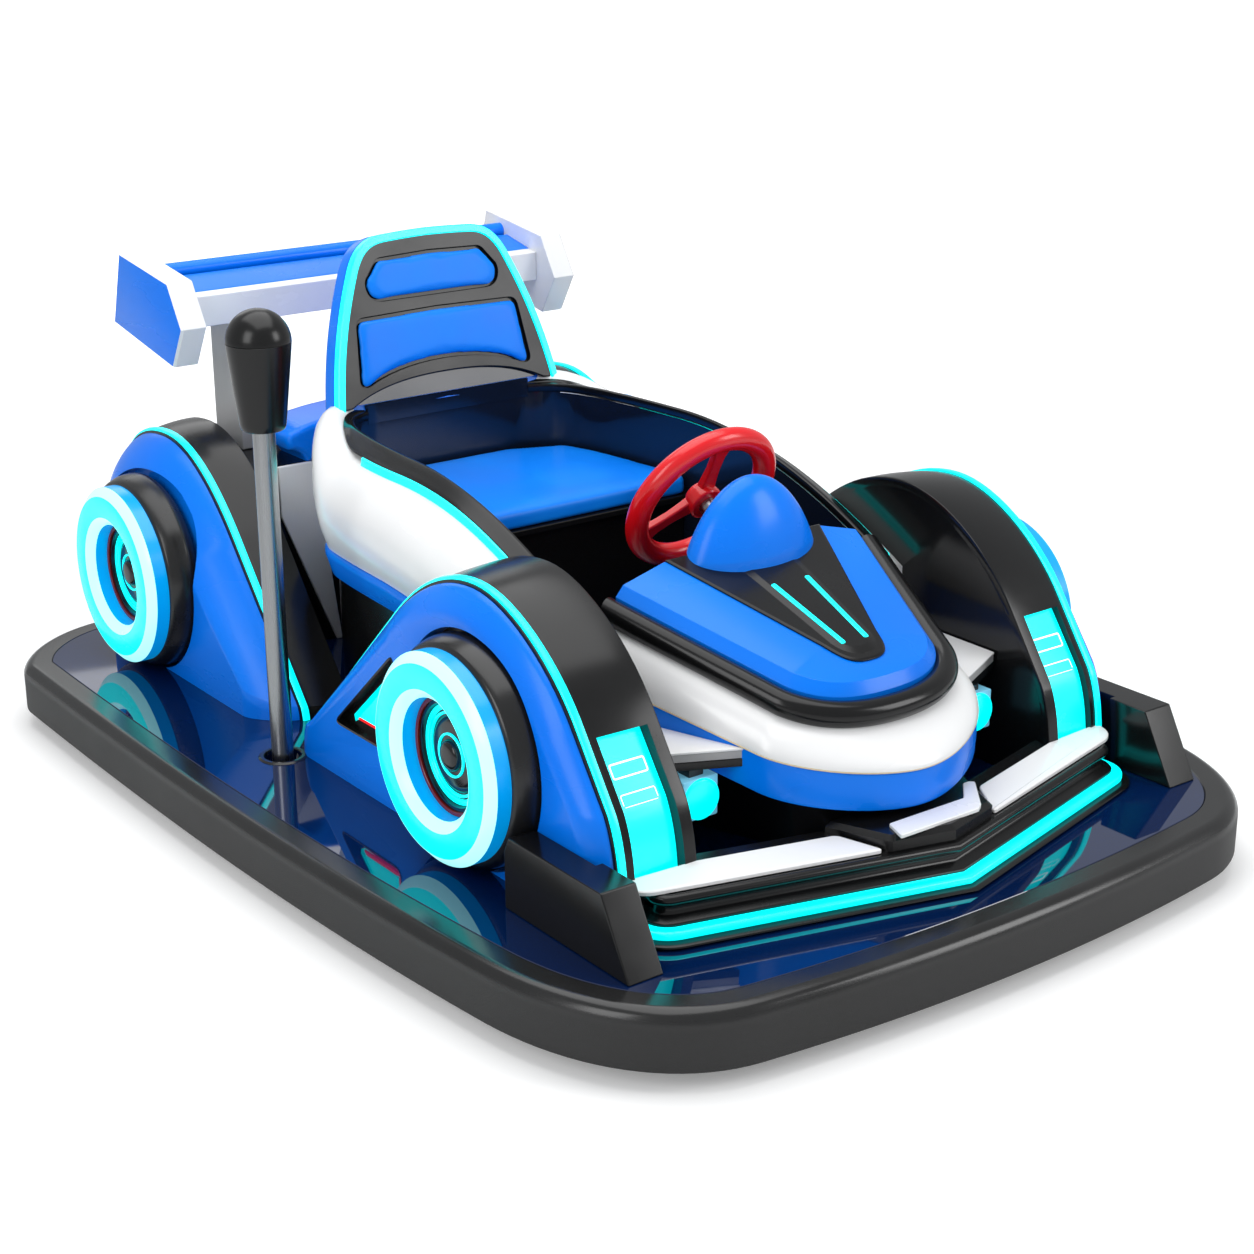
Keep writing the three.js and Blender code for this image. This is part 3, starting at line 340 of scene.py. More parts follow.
def platform_outline(inset):
    """The platform from above: a bowed front and rear, large front corners and bowed sides."""
    front = Vector((half_width - 0.249, -half_length + 0.027))
    side = Vector((half_width - 0.039, front.y + 0.276))
    rear = Vector((half_width - 0.007, half_length - 0.194))
    back = Vector((rear.x - 0.177, half_length - 0.044))
    half = path((0, -half_length), [(front.x / 2, -half_length), front],
        [front + Vector((0.113, 0.016)), side - Vector((0.019, 0.157)), side],
        [(half_width, side.y + 0.347), (half_width, 0.21)], [(half_width, (0.21 + rear.y) / 2), rear],
        [rear + Vector((-0.011, 0.059)), back + Vector((0.089, -0.014)), back],
        [(back.x / 2, half_length), (0, half_length)], divisions=20)
    return grown(mirrored(half), -inset)


def platform_ring(inset, height):
    return [(p.x, p.y, height) for p in platform_outline(inset)]


low, top = ring_low.z, ring_high.z
section = [(0.03, low), (0.006, low), (0.002, low + 0.002), (0.0, low + 0.006), (0.0, low + 0.05)]
section += [(edge_radius * (1 - math.cos(a)), top - edge_radius * (1 - math.sin(a)))
    for a in [math.radians(9 * k) for k in range(11)]]
section += [(lip_width - 0.0015, top), (lip_width, top - 0.0015), (lip_width, low + 0.004),
    (lip_width - 0.004, low)]
bumper = soften(draw_out("rubber_bumper_ring", [platform_ring(*s) for s in section], joined=True))

bumper_rubber, tree, shader, place = finish_tree("bumper_rubber")
skin = put(tree, "Group", {"Place": place, "Grain": 700}, node_tree=grain_group)
height = put(tree, "SeparateXYZ", {0: place})
polish = put(tree, "MapRange", {"Value": height.outputs["Z"], "From Min": top - 0.026,
    "From Max": top - 0.006}, interpolation_type="SMOOTHSTEP")
shine = put(tree, "MapRange", {"Value": polish.outputs["Result"], "To Min": 0.55, "To Max": 0.2})
uneven = put(tree, "MapRange", {"Value": skin.outputs["Patch"], "To Min": -0.03, "To Max": 0.05})
dull = put(tree, "Math", {0: shine.outputs["Result"], 1: uneven.outputs["Result"]}, operation="ADD")
colour = put(tree, "Mix", {0: skin.outputs["Patch"], 6: (0.011, 0.011, 0.011, 1),
    7: (0.017, 0.017, 0.0175, 1)}, data_type="RGBA")
weight = put(tree, "MapRange", {"Value": polish.outputs["Result"], "To Min": 1.0, "To Max": 0.08})
relief_height = put(tree, "Math", {0: skin.outputs["Height"], 1: weight.outputs["Result"]},
    operation="MULTIPLY")
relief = put(tree, "Bump", {"Strength": 0.35, "Distance": 0.0006, "Height": relief_height.outputs[0]})
feed(tree, shader, {"Base Color": colour.outputs[2], "Roughness": dull.outputs[0],
    "Normal": relief.outputs[0]})
settle(bumper, bumper_rubber, "bumper_rubber", "bumper_ring")

# ---- deck --------------------------------------------------------------------------------------
# A flat plate with a mirror-polished dark blue coating, let in flush with the ring's lip. It is cut
# out for the drive unit, the two rear wheels and the hand lever.


def cut(piece, *cutters, operation="DIFFERENCE"):
    """Takes the cutters out of a piece and removes them."""
    for cutter in cutters:
        only(piece)
        shape = piece.modifiers.new("cut", "BOOLEAN")
        shape.operation = operation
        shape.object = cutter
        shape.solver = "EXACT"
        bpy.ops.object.modifier_apply(modifier=shape.name)
        bpy.data.objects.remove(cutter)
    return piece


def block(name, low, high):
    """A box between two corners, with its place in its mesh."""
    size = Vector(high) - Vector(low)
    piece = start("cube", name, size=1, location=(Vector(low) + Vector(high)) / 2, scale=size)
    bpy.ops.object.transform_apply(location=True, rotation=True, scale=True)
    return piece


def drum(name, centre, radius, length, axis="Z", sides=64):
    """A round bar along an axis, with its place in its mesh."""
    turn = {"X": (0, math.pi / 2, 0), "Y": (math.pi / 2, 0, 0), "Z": (0, 0, 0)}[axis]
    piece = start("cylinder", name, vertices=sides, radius=radius, depth=length, location=centre,
        rotation=turn)
    bpy.ops.object.transform_apply(location=True, rotation=True, scale=True)
    return piece


def polished(name, colour, deep, roughness=(0.1, 0.2), ripple=14.0, bump=0.05, coat=0.0, gloss=0.5):
    """A polished skin: colour a touch deeper in places, a faint ripple, and wiped-over marks."""
    material, tree, shader, place = finish_tree(name)
    skin = put(tree, "Group", {"Place": place, "Ripple": ripple}, node_tree=skin_group)
    mixed = put(tree, "Mix", {0: skin.outputs["Tone"], 6: (*colour, 1), 7: (*deep, 1)}, data_type="RGBA")
    dull = put(tree, "MapRange", {"Value": skin.outputs["Mark"], "To Min": roughness[0],
        "To Max": roughness[1]})
    relief = put(tree, "Bump", {"Strength": bump, "Distance": 0.004, "Height": skin.outputs["Height"]})
    feed(tree, shader, {"Base Color": mixed.outputs[2], "Roughness": dull.outputs["Result"],
        "Normal": relief.outputs[0], "Coat Weight": coat, "Coat Roughness": 0.15,
        "Specular IOR Level": gloss})
    return material


def wheel_well(side, foot_z, top_z):
    """The space of a rear wheel, with room before, behind and beside it."""
    low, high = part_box(f"rear_wheel_{side}")
    around = Vector((0.01, 0.01, 0))
    return block("well", (*(low - around).xy, foot_z), (*(high + around).xy, top_z))


sides = (("left", 1), ("right", -1))
deck_inset = lip_width + 0.0003
deck_rings = [(deck_inset + 0.001, deck_low.z), (deck_inset, deck_low.z + 0.001),
    (deck_inset, deck_top - 0.0008), (deck_inset + 0.0008, deck_top)]
deck = draw_out("deck", [platform_ring(*r) for r in deck_rings])
housing_low, housing_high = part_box("drive_housing")
well_radius = (housing_high.x - housing_low.x) / 2 - 0.01
middle = (housing_low + housing_high) / 2
cut(deck, drum("well", (middle.x, middle.y, deck_top), well_radius, 0.1))
lever_low, lever_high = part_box("lever_tube")
lever_foot = Vector(((lever_low.x + lever_high.x) / 2, (lever_low.y + lever_high.y) / 2, deck_top))
hole_radius = 0.027
cut(deck, drum("hole", lever_foot, hole_radius, 0.1, sides=40))
for side in ("left", "right"):
    cut(deck, wheel_well(side, deck_low.z - 0.02, deck_top + 0.02))
soften(deck)
deck_gloss = polished("deck_gloss", (0.001, 0.014, 0.072), (0.0008, 0.009, 0.05), (0.015, 0.05), ripple=3.0,
    bump=0.01)
deck_gloss.node_tree.nodes["Principled BSDF"].inputs["IOR"].default_value = 1.8
settle(deck, deck_gloss, "deck_gloss", "deck_plate")

# ---- wheel lights ------------------------------------------------------------------------------
# Four dummy wheels fixed to the body: a soft black tyre, a glowing acrylic ring clipped to its
# face, and a dark hub disc with two thin lit rings. The hub's middle is a plain cap.


def spin_round(name, profile, centre, axis, steps=96):
    """Turns a closed profile once round an axis. Points on the axis become poles."""
    piece = start("circle", name, vertices=len(profile))
    bpy.ops.object.mode_set(mode="EDIT")
    mesh = bmesh.from_edit_mesh(piece.data)
    mesh.verts.ensure_lookup_table()
    for corner, point in zip(mesh.verts, profile):
        corner.co = point
    bmesh.update_edit_mesh(piece.data)
    bpy.ops.mesh.spin(steps=steps, angle=2 * math.pi, center=centre, axis=axis)
    bpy.ops.mesh.select_all(action="SELECT")
    bpy.ops.mesh.remove_doubles(threshold=2e-6)
    bpy.ops.mesh.delete_loose()
    bpy.ops.mesh.select_all(action="SELECT")
    bpy.ops.mesh.normals_make_consistent(inside=False)
    bpy.ops.object.mode_set(mode="OBJECT")
    return piece


def lit_acrylic(name, colour, glow, strength):
    """Frosted acrylic lit from behind, a little brighter where the lamps behind it are."""
    material, tree, shader, place = finish_tree(name)
    skin = put(tree, "Group", {"Place": place}, node_tree=skin_group)
    even = put(tree, "MapRange", {"Value": skin.outputs["Tone"], "To Min": 0.93, "To Max": 1.0})
    light = put(tree, "Mix", {0: even.outputs["Result"], 6: (*colour, 1), 7: (*glow, 1)}, data_type="RGBA")
    dull = put(tree, "MapRange", {"Value": skin.outputs["Mark"], "To Min": 0.2, "To Max": 0.3})
    feed(tree, shader, {"Emission Color": light.outputs[2], "Base Color": light.outputs[2],
        "Roughness": dull.outputs["Result"], "Emission Strength": strength})
    return material


tyre_rubber = grained("tyre_rubber", (0.009, 0.009, 0.009), (0.014, 0.014, 0.0145), (0.2, 0.34), 500, 0.06,
    0.0004)
cyan_face = lit_acrylic("lit_face", (0.0, 0.8, 0.85), (0.0, 1.0, 1.0), 0.95)
# The face glow is the ring's own light. The paler edge copy is painted highlight for the ring's bevels, and
# the darker wall copy is painted shade for its walls.
cyan_bevel_highlight = lit_acrylic("lit_bevel_highlight", (0.3, 0.9, 0.92), (0.42, 1.0, 1.0), 0.8)
cyan_wall_shade = lit_acrylic("lit_wall_shade", (0.0, 0.2, 0.5), (0.0, 0.3, 0.72), 0.55)
hub_black = polished("hub_black", (0.006, 0.006, 0.007), (0.004, 0.004, 0.004), (0.12, 0.25))
hub_red = polished("hub_red", (0.22, 0.003, 0.004), (0.15, 0.002, 0.003), (0.2, 0.35))


def tint_by_slope(piece, way):
    """Gives the ring's front face the cyan glow, its two bevels a paler copy that is painted highlight, and
    its walls a darker copy that is painted shade.
    """
    for finish in (cyan_face, cyan_bevel_highlight, cyan_wall_shade):
        piece.data.materials.append(finish)
    for face in piece.data.polygons:
        ahead = way * face.normal.x
        face.material_index = 0 if ahead > 0.95 else 1 if ahead > 0.25 else 2


wheel_centre = {}
for end in ("front", "rear"):
    for side, way in sides:
        node = f"wheel_light_{end}_{side}"
        low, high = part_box(node)
        centre = (low + high) / 2
        tyre_radius = (high.z - low.z) / 2
        wheel_centre[end, side] = centre
        ring_x = high.x if way > 0 else -low.x
        back_x = low.x if way > 0 else -high.x
        ring_radius = tyre_radius - 0.0144
        bore = 0.082
        bevel = 0.012
        tyre_x = ring_x - 0.033

        def turned(profile):
            return [(way * x, centre.y, centre.z + r) for r, x in profile]

        tyre_side = path((bore + 0.02, back_x), [(tyre_radius - 0.03, back_x)],
            [(tyre_radius - 0.006, back_x + 0.003), (tyre_radius, back_x + 0.024)],
            [(tyre_radius + 0.0005, back_x + 0.042), (tyre_radius - 0.008, tyre_x - 0.004)],
            [(tyre_radius - 0.011, tyre_x), (ring_radius - 0.002, tyre_x)], [(bore + 0.02, tyre_x)])
        tyre = spin_round(f"tyre_{end}_{side}", turned(tyre_side), centre, (1, 0, 0))
        settle(soften(tyre), tyre_rubber, "tyre_rubber")

        ring_profile = [(ring_radius - 0.002, tyre_x - 0.008), (ring_radius, tyre_x - 0.006),
            (ring_radius, ring_x - bevel), (ring_radius - 0.0008, ring_x - bevel + 0.0012),
            (ring_radius - bevel, ring_x - 0.0006), (ring_radius - bevel - 0.0015, ring_x),
            (bore + bevel + 0.0015, ring_x), (bore + bevel, ring_x - 0.0006),
            (bore + 0.0008, ring_x - bevel + 0.0012), (bore, ring_x - bevel), (bore, tyre_x - 0.006),
            (bore + 0.002, tyre_x - 0.008)]
        ring = spin_round(f"glow_ring_{end}_{side}", turned(ring_profile), centre, (1, 0, 0), steps=128)
        only(ring)
        bpy.ops.object.shade_smooth_by_angle(angle=math.radians(25))
        tint_by_slope(ring, way)
        register(ring, "light_cyan", node)

        hub_x = ring_x - 0.03
        disc = path((0, back_x + 0.01), [(bore + 0.022, back_x + 0.01)], [(bore + 0.022, hub_x - 0.004)],
            [(bore - 0.012, hub_x - 0.004)], [(bore - 0.014, hub_x - 0.012)], [(bore - 0.03, hub_x - 0.012)],
            [(bore - 0.034, hub_x - 0.008), (bore - 0.04, hub_x - 0.007)], [(0.022, hub_x - 0.006)],
            [(0.02, hub_x - 0.001)], [(0.018, hub_x + 0.002), (0.012, hub_x + 0.003)],
            [(0.006, hub_x + 0.0035), (0, hub_x + 0.0035)], divisions=5)
        hub = spin_round(f"hub_{end}_{side}", turned(disc), centre, (1, 0, 0), steps=72)
        settle(soften(hub), hub_black, "shell_black")

        def hoop(label, radius, width, x, finish, slot):
            shape = [(radius, x - 0.002), (radius, x + 0.0012), (radius - 0.0008, x + 0.002),
                (radius - width + 0.0008, x + 0.002), (radius - width, x + 0.0012),
                (radius - width, x - 0.002)]
            piece = spin_round(f"{label}_{end}_{side}", turned(shape), centre, (1, 0, 0), steps=96)
            settle(soften(piece), finish, slot)

        hoop("hub_edge", bore - 0.0006, 0.006, hub_x - 0.003, hub_red, "wheel_red")
        hoop("hub_glow_wide", bore - 0.0145, 0.007, hub_x - 0.0105, cyan_face, "light_cyan")
        hoop("hub_glow_thin", bore - 0.0245, 0.0035, hub_x - 0.0105, cyan_face, "light_cyan")
        hoop("hub_cap_line", 0.03, 0.0028, hub_x - 0.0055, cyan_face, "light_cyan")

# ---- fenders -----------------------------------------------------------------------------------
# Four upright arches of glass-fibre, each one moulding: a blue side with a rounded shoulder, a
# black gloss crown, and a raised light strip pressed into the crown's outer edge.
fender_low, fender_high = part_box("fender_front_left")
fender_inner, fender_outer = fender_low.x, fender_high.x
front_arch = path((0.487, 0), [(0.486, 0.044), (0.47, 0.044)], [(0.238, 0.264)],
    [(0.18, 0.322), (0.11, 0.371), (0.024, 0.371)], [(-0.05, 0.371), (-0.145, 0.315), (-0.199, 0.234)],
    [(-0.259, 0.149)], [(-0.28, 0.11), (-0.284, 0.06), (-0.285, 0)], divisions=14)
rear_arch = path((-0.379, 0), [(-0.379, 0.008), (-0.374, 0.02)], [(-0.197, 0.227)],
    [(-0.137, 0.3), (-0.06, 0.366), (0.03, 0.366)], [(0.12, 0.366), (0.19, 0.33), (0.212, 0.24)],
    [(0.222, 0.19), (0.222, 0.09), (0.218, 0)], divisions=14)
wheel_height = wheel_centre["front", "left"].z
crown_rise = 0.01
shoulder_slope = 0.62
recess_x, recess_radius = 0.4317, 0.163
foot = deck_top + 0.0003


def arch_ring(arch, wheel_y, x, grow):
    """The arch at a station across the car, larger or smaller along lines from the wheel's centre."""
    ring = []
    for along, height in arch:
        rise = height + deck_top - wheel_height
        scale = 1 + grow / math.hypot(along, rise)
        ring.append((x, wheel_y + along * scale, foot if height < 0.001 else max(foot,
            wheel_height + rise * scale)))
    return ring


def arch_body(name, arch, wheel_y, way, section):
    """A solid arch through stations across the car, on the side that the way gives."""
    return draw_out(name, [arch_ring(arch, wheel_y, way * x, grow) for x, grow in section])


def arch_strip(name, arch, wheel_y, section):
    """A strip that follows the arch. The section is (station across the car, height over the arch)."""
    columns = [arch_ring(arch, wheel_y, x, grow) for x, grow in section]
    return draw_out(name, list(zip(*columns)))


crown_black = polished("crown_black", (0.005, 0.005, 0.0053), (0.007, 0.007, 0.0074), (0.18, 0.3),
    ripple=9.0, gloss=0.38)
shell_blue = polished("shell_blue", (0.0, 0.22, 0.98), (0.0, 0.18, 0.9), (0.24, 0.34), coat=0.08,
    gloss=0.22)
arches = (("front", front_arch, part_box("wheel_light_front_left"), 0.425),
    ("rear", rear_arch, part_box("wheel_light_rear_left"), 0.391))
for end, arch, (low, high), stripe in arches:
    wheel_y = (low.y + high.y) / 2
    for side, way in sides:
        seam = stripe + 0.0085
        crown_section = [(fender_inner + 0.003, crown_rise - 0.016), (fender_inner, crown_rise - 0.012),
            (fender_inner, crown_rise - 0.003), (fender_inner + 0.001, crown_rise - 0.0008),
            (fender_inner + 0.003, crown_rise)]
        width = stripe - 0.012 - fender_inner - 0.003
        crown_section += [(fender_inner + 0.003 + width * t, crown_rise * (1 - t * t) + 0.0025 * t * t)
            for t in (0.25, 0.5, 0.75, 1.0)]
        crown_section += [(stripe - 0.0085, 0.0014), (seam - 0.0008, 0.0), (seam, -0.0015)]
        crown = arch_body(f"fender_{end}_{side}_crown", arch, wheel_y, way, crown_section)
        shoulder = fender_outer - stripe
        reach = fender_outer - seam
        fall = shoulder + 0.008 - shoulder_slope * reach
        flank_section = [(seam + 0.0004, -0.004)]
        flank_section += [(seam + reach * math.sin(a), -0.0015 - fall * (1 - math.cos(a))
            - shoulder_slope * reach * math.sin(a)) for a in [math.pi / 20 * k for k in range(1, 11)]]
        flank = arch_body(f"fender_{end}_{side}_side", arch, wheel_y, way, flank_section)
        hollow = drum("recess", (way * (recess_x + 0.1), wheel_y, wheel_height), recess_radius, 0.2, "X",
            96)
        cut(flank, hollow)
        if end == "rear":
            cut(crown, wheel_well(side, 0.05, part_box(f"rear_wheel_{side}")[1].z + 0.006))

        strip_section = [(way * (stripe + dx), dg) for dx, dg in ((-0.0055, -0.001), (-0.0055, 0.0028),
            (-0.0045, 0.0042), (0.0, 0.0048), (0.0045, 0.0038), (0.0055, 0.0024), (0.0055, -0.0025))]
        strip = arch_strip(f"fender_{end}_{side}_light_strip", arch, wheel_y, strip_section)
        settle(soften(strip), cyan_face, "light_cyan")

        if end == "front":
            # A lit panel let into the front slope, with two outlined windows.
            tray_section = [(way * 0.334, -0.012), (way * 0.334, 0.02), (way * 0.408, 0.02),
                (way * 0.408, -0.012)]
            panel_line = path((-0.203, 0.2283), [(-0.259, 0.149)],
                [(-0.2755, 0.118), (-0.281, 0.085), (-0.2835, 0.052)])
            tray = arch_strip("tray", panel_line, wheel_y, tray_section)
            cut(crown, tray)
            face_section = [(way * 0.3345, -0.0125), (way * 0.3345, -0.0085), (way * 0.336, -0.0075),
                (way * 0.406, -0.0075), (way * 0.4075, -0.0085), (way * 0.4075, -0.0125)]
            panel = arch_strip(f"fender_front_{side}_panel", panel_line, wheel_y, face_section)
            settle(soften(panel), cyan_face, "light_cyan")
        settle(soften(crown, 0.0008, 2, 40), crown_black, "shell_black", f"fender_{end}_{side}")
        settle(soften(flank, 0.0015, 3, 40), shell_blue, "shell_blue", f"fender_{end}_{side}")

# The front fenders carry a black pocket behind the wheel, with a lit triangle edged in red.


def rounded(corners, radius, divisions=5):
    """A closed outline with its corners rounded off."""
    outline = []
    for before, corner, after in zip(corners[-1:] + corners[:-1], corners, corners[1:] + corners[:1]):
        corner = Vector(corner)
        entry = corner + (Vector(before) - corner).normalized() * radius
        leave = corner + (Vector(after) - corner).normalized() * radius
        outline += path(entry, [corner, leave], divisions=divisions)
    return outline


def slab(name, outline, axis, *levels):
    """An outline pushed along an axis through levels. A level is a place, or (place, growth)."""
    order = {"X": lambda a, b, c: (c, a, b), "Y": lambda a, b, c: (a, c, b),
        "Z": lambda a, b, c: (a, b, c)}[axis]
    rings = []
    for level in levels:
        place, growth = level if isinstance(level, tuple) else (level, 0)
        line = grown(outline, growth) if growth else outline
        rings.append([order(p[0], p[1], place) for p in line])
    return draw_out(name, rings)


pocket_black = polished("pocket_black", (0.007, 0.007, 0.007), (0.004, 0.004, 0.004), (0.18, 0.3))
pocket_red = lit_acrylic("lit_red", (0.75, 0.0, 0.01), (0.95, 0.01, 0.01), 0.7)
pocket = [(0.008, 0.19), (-0.162, 0.19), (-0.162, 0.342)]
pointer = [(-0.034, 0.207), (-0.145, 0.207), (-0.145, 0.306)]
pocket_floor = fender_outer - 0.014
for side, way in sides:
    flank = bpy.data.objects[f"fender_front_{side}_side"]
    outline = rounded(pocket, 0.018)
    cutter = slab("pocket", outline, "X", way * (pocket_floor - 0.001), way * (fender_outer + 0.02))
    cut(flank, cutter)
    liner = slab(f"fender_front_{side}_pocket", grown(outline, 0.001), "X", way * (pocket_floor - 0.004),
        way * (pocket_floor - 0.001), (way * pocket_floor, -0.001))
    settle(soften(liner), pocket_black, "shell_black")
    wall = [(way * x, g) for x, g in ((pocket_floor - 0.002, 0.0008), (fender_outer + 0.0006, 0.0008),
        (fender_outer + 0.0012, 0.0), (fender_outer + 0.0006, -0.0024), (pocket_floor - 0.002, -0.003))]
    edge = draw_out(f"fender_front_{side}_pocket_edge", [[(x, p.x, p.y) for p in grown(outline, g)]
        for x, g in wall], joined=True)
    settle(soften(edge), pocket_black, "shell_black")
    border = slab(f"fender_front_{side}_pointer_edge", rounded(pointer, 0.004), "X",
        way * (pocket_floor - 0.002), way * (pocket_floor + 0.004), (way * (pocket_floor + 0.005), -0.001))
    settle(soften(border), pocket_red, "wheel_red")
    light = slab(f"fender_front_{side}_pointer", grown(rounded(pointer, 0.004), -0.006), "X",
        way * (pocket_floor + 0.002), way * (pocket_floor + 0.006), (way * (pocket_floor + 0.007), -0.001))
    settle(soften(light), cyan_face, "light_cyan")

# Two outlined windows on each lit front panel: thin white hoops that follow the slope.
window_white = lit_acrylic("lit_white", (0.85, 1.0, 1.0), (1.0, 1.0, 1.0), 0.8)
slope_top = Vector((-0.199, 0.234))
slope_foot = Vector((-0.259, 0.149))
down = (slope_foot - slope_top).normalized()
outward = Vector((down.y, -down.x))
for side, way in sides:
    wheel_y = wheel_centre["front", side].y
    for number, (from_top, height) in enumerate(((0.043, 0.021), (0.083, 0.018))):
        frame_line = rounded([(0.345, from_top), (0.4, from_top), (0.4, from_top + height),
            (0.345, from_top + height)], 0.004)
        rings = []
        for growth, rise in ((0.0, -0.0085), (0.0, -0.0066), (-0.0006, -0.006), (-0.0018, -0.006),
                (-0.0024, -0.0066), (-0.0024, -0.0085)):
            ring = []
            for p in grown(frame_line, growth):
                point = slope_top + down * p.y + outward * rise
                ring.append((way * p.x, wheel_y + point.x, deck_top + point.y))
            rings.append(ring)
        hoop_piece = draw_out(f"fender_front_{side}_window_{number + 1}", rings, joined=True)
        settle(soften(hoop_piece), window_white, "light_cyan")

# ---- cockpit tub -------------------------------------------------------------------------------
# The driver's tub is one glass-fibre moulding: white outside with a bulge along each side and a
# shoulder behind the seat, dark inside, edged with a rolled black rim and a lit strip below it.
tub_front, tub_rear = -0.33, 0.412
inner_line = path((0.262, tub_front), [(0.258, -0.12), (0.25, 0.06)], [(0.244, 0.2), (0.232, 0.27)],
    [(0.218, tub_rear - 0.04), (0.19, tub_rear - 0.004), (0.13, tub_rear)], [(0.0, tub_rear + 0.002)],
    divisions=14)


def rim_height(y):
    return deck_top + 0.411 - 0.61 * max(0.0, 0.12 - y) ** 2


def stations(line):
    """Each point of a line in plan, with its outward direction, longer at a sharp corner."""
    found = []
    for i, here in enumerate(line):
        before = here - line[max(i - 1, 0)]
        after = line[min(i + 1, len(line) - 1)] - here
        before, after = (v if v.length else w for v, w in ((before, after), (after, before)))
        along = before.normalized() + after.normalized()
        out = Vector((along.y, -along.x)).normalized()
        out *= 1 if out.dot(here) > 0 else -1
        found.append((here, out * 2 / along.length))
    return found


def carry(name, along, section):
    """A section, in (distance outwards, height), carried along the stations of a line."""
    return draw_out(name, [[(here.x + out.x * d, here.y + out.y * d, z) for d, z in section(here.y)]
        for here, out in along])


tub_stations = stations(mirrored(inner_line))


def ease(value, low, high):
    t = min(1.0, max(0.0, (value - low) / (high - low)))
    return t * t * (3 - 2 * t)


liner = 0.012


def white_low(y):
    """The white side's lower edge, which falls behind the seat."""
    return deck_top + 0.249 - 0.45 * max(0.0, 0.1 - y) ** 2 - 0.045 * ease(y, 0.28, 0.41)


def white_section(y):
    """The side's bulge, turning into the shoulder behind the seat."""
    rim, low = rim_height(y), white_low(y)
    turn = ease(y, 0.24, 0.4)
    side_curve = path((0.0262, rim - 0.0245 - 0.009 * ease(y, -0.12, 0.22)),
        [(0.062, rim - 0.037), (0.0945, rim - 0.064), (0.095, low + 0.055)],
        [(0.095, low + 0.03), (0.087, low + 0.015), (0.081, low)], divisions=8)
    shoulder_curve = path((0.012, rim + 0.002), [(0.022, rim + 0.03), (0.066, rim + 0.014),
        (0.058, rim - 0.03)], [(0.044, rim - 0.088), (0.004, rim - 0.11), (0.034, low)], divisions=8)
    skin = [tuple(a.lerp(b, turn)) for a, b in zip(side_curve, shoulder_curve)]
    return skin + [(liner, low), (liner, foot), (0.0, foot), (0.0, rim - 0.016)]


shell_white = polished("shell_white", (0.9, 0.902, 0.905), (0.87, 0.872, 0.875), (0.2, 0.3), coat=0.2)
tub_dark = polished("tub_dark", (0.007, 0.012, 0.026), (0.005, 0.008, 0.016), (0.08, 0.16), ripple=6.0)
tub = carry("tub_shell", tub_stations, white_section)
tub.data.materials.append(shell_white)
tub.data.materials.append(tub_dark)
for face in tub.data.polygons:
    at = face.center.copy()
    nearest, out = min(tub_stations, key=lambda s: (s[0] - at.xy).length)
    inside = (at.xy - nearest).dot(out) < 0.006
    face.material_index = 1 if inside and at.z < rim_height(at.y) - 0.005 else 0
soften(tub, angle=50)
register(tub, "shell_white", "tub_shell")


def sill_section(y):
    turn = ease(y, 0.24, 0.4)
    top = white_low(y)
    wide = 0.084 + (0.034 - 0.084) * turn
    return [(liner + 0.0003, foot), (liner + 0.0003, top - 0.0003), (wide - 0.004, top - 0.0003),
        (wide, top - 0.004), (wide + 0.001, top - 0.012), (wide - 0.01 * (1 - turn), top - 0.044),
        (wide - 0.014 * (1 - turn) - 0.002, top - 0.047), (wide - 0.03 * (1 - turn) - 0.004, top - 0.049),
        (wide - 0.034 * (1 - turn) - 0.004, foot)]


sill = carry("tub_sill", tub_stations, sill_section)
sill.data.materials.append(shell_blue)
shell_black = polished("shell_black", (0.0048, 0.0048, 0.0051), (0.0068, 0.0068, 0.0072), (0.18, 0.3),
    gloss=0.36)
sill.data.materials.append(shell_black)
for face in sill.data.polygons:
    face.material_index = 1 if face.center.z < white_low(face.center.y) - 0.046 else 0
soften(sill, angle=50)
register(sill, "shell_blue", "tub_sill")


def rim_section(y):
    """A rolled lip: a tight inner bead, a top that falls outwards, and an edge over the strip."""
    crest = rim_height(y)
    neck = ease(y, 0.27, 0.39)
    fall = -0.011 - 0.009 * ease(y, -0.12, 0.22)
    width = 0.026 - 0.013 * neck
    drop = fall * (1 - neck) + 0.004 * neck
    return [(0.002, crest - 0.0165), (-0.0015, crest - 0.012), (-0.0028, crest - 0.006),
        (-0.0018, crest - 0.0015), (0.0012, crest), (0.005, crest - 0.0008),
        (width * 0.45, crest + drop * 0.38), (width * 0.75, crest + drop * 0.75),
        (width * 0.97, crest + drop * 0.97), (width, crest + drop - 0.0025),
        (width - 0.0022, crest + drop - 0.0035)]


count = len(tub_stations)
at_rear = [i for i, (here, out) in enumerate(tub_stations) if here.y > 0.405 and abs(here.x) < 0.172]
strip_to = next(i for i, (here, out) in enumerate(tub_stations) if here.y > 0.243)
for side, first, last in (("left", 0, at_rear[0] + 1), ("right", at_rear[-1], count)):
    rim_piece = carry(f"cockpit_rim_{side}", tub_stations[first:last], rim_section)
    settle(soften(rim_piece, angle=50), shell_black, "shell_black", "cockpit_rim")


def back_section(y):
    return [(out, rim_height(y) + rise) for out, rise in ((-0.0006, -0.022), (0.0065, -0.022),
        (0.0065, 0.008), (0.005, 0.009), (0.001, 0.009), (-0.0006, 0.008))]


back_wall = carry("tub_back_wall", tub_stations[at_rear[0]:at_rear[-1] + 1], back_section)
settle(soften(back_wall), tub_dark, "shell_black")

# The lit strip lies just under the rim's outer edge, from behind the fender to beside the seat.


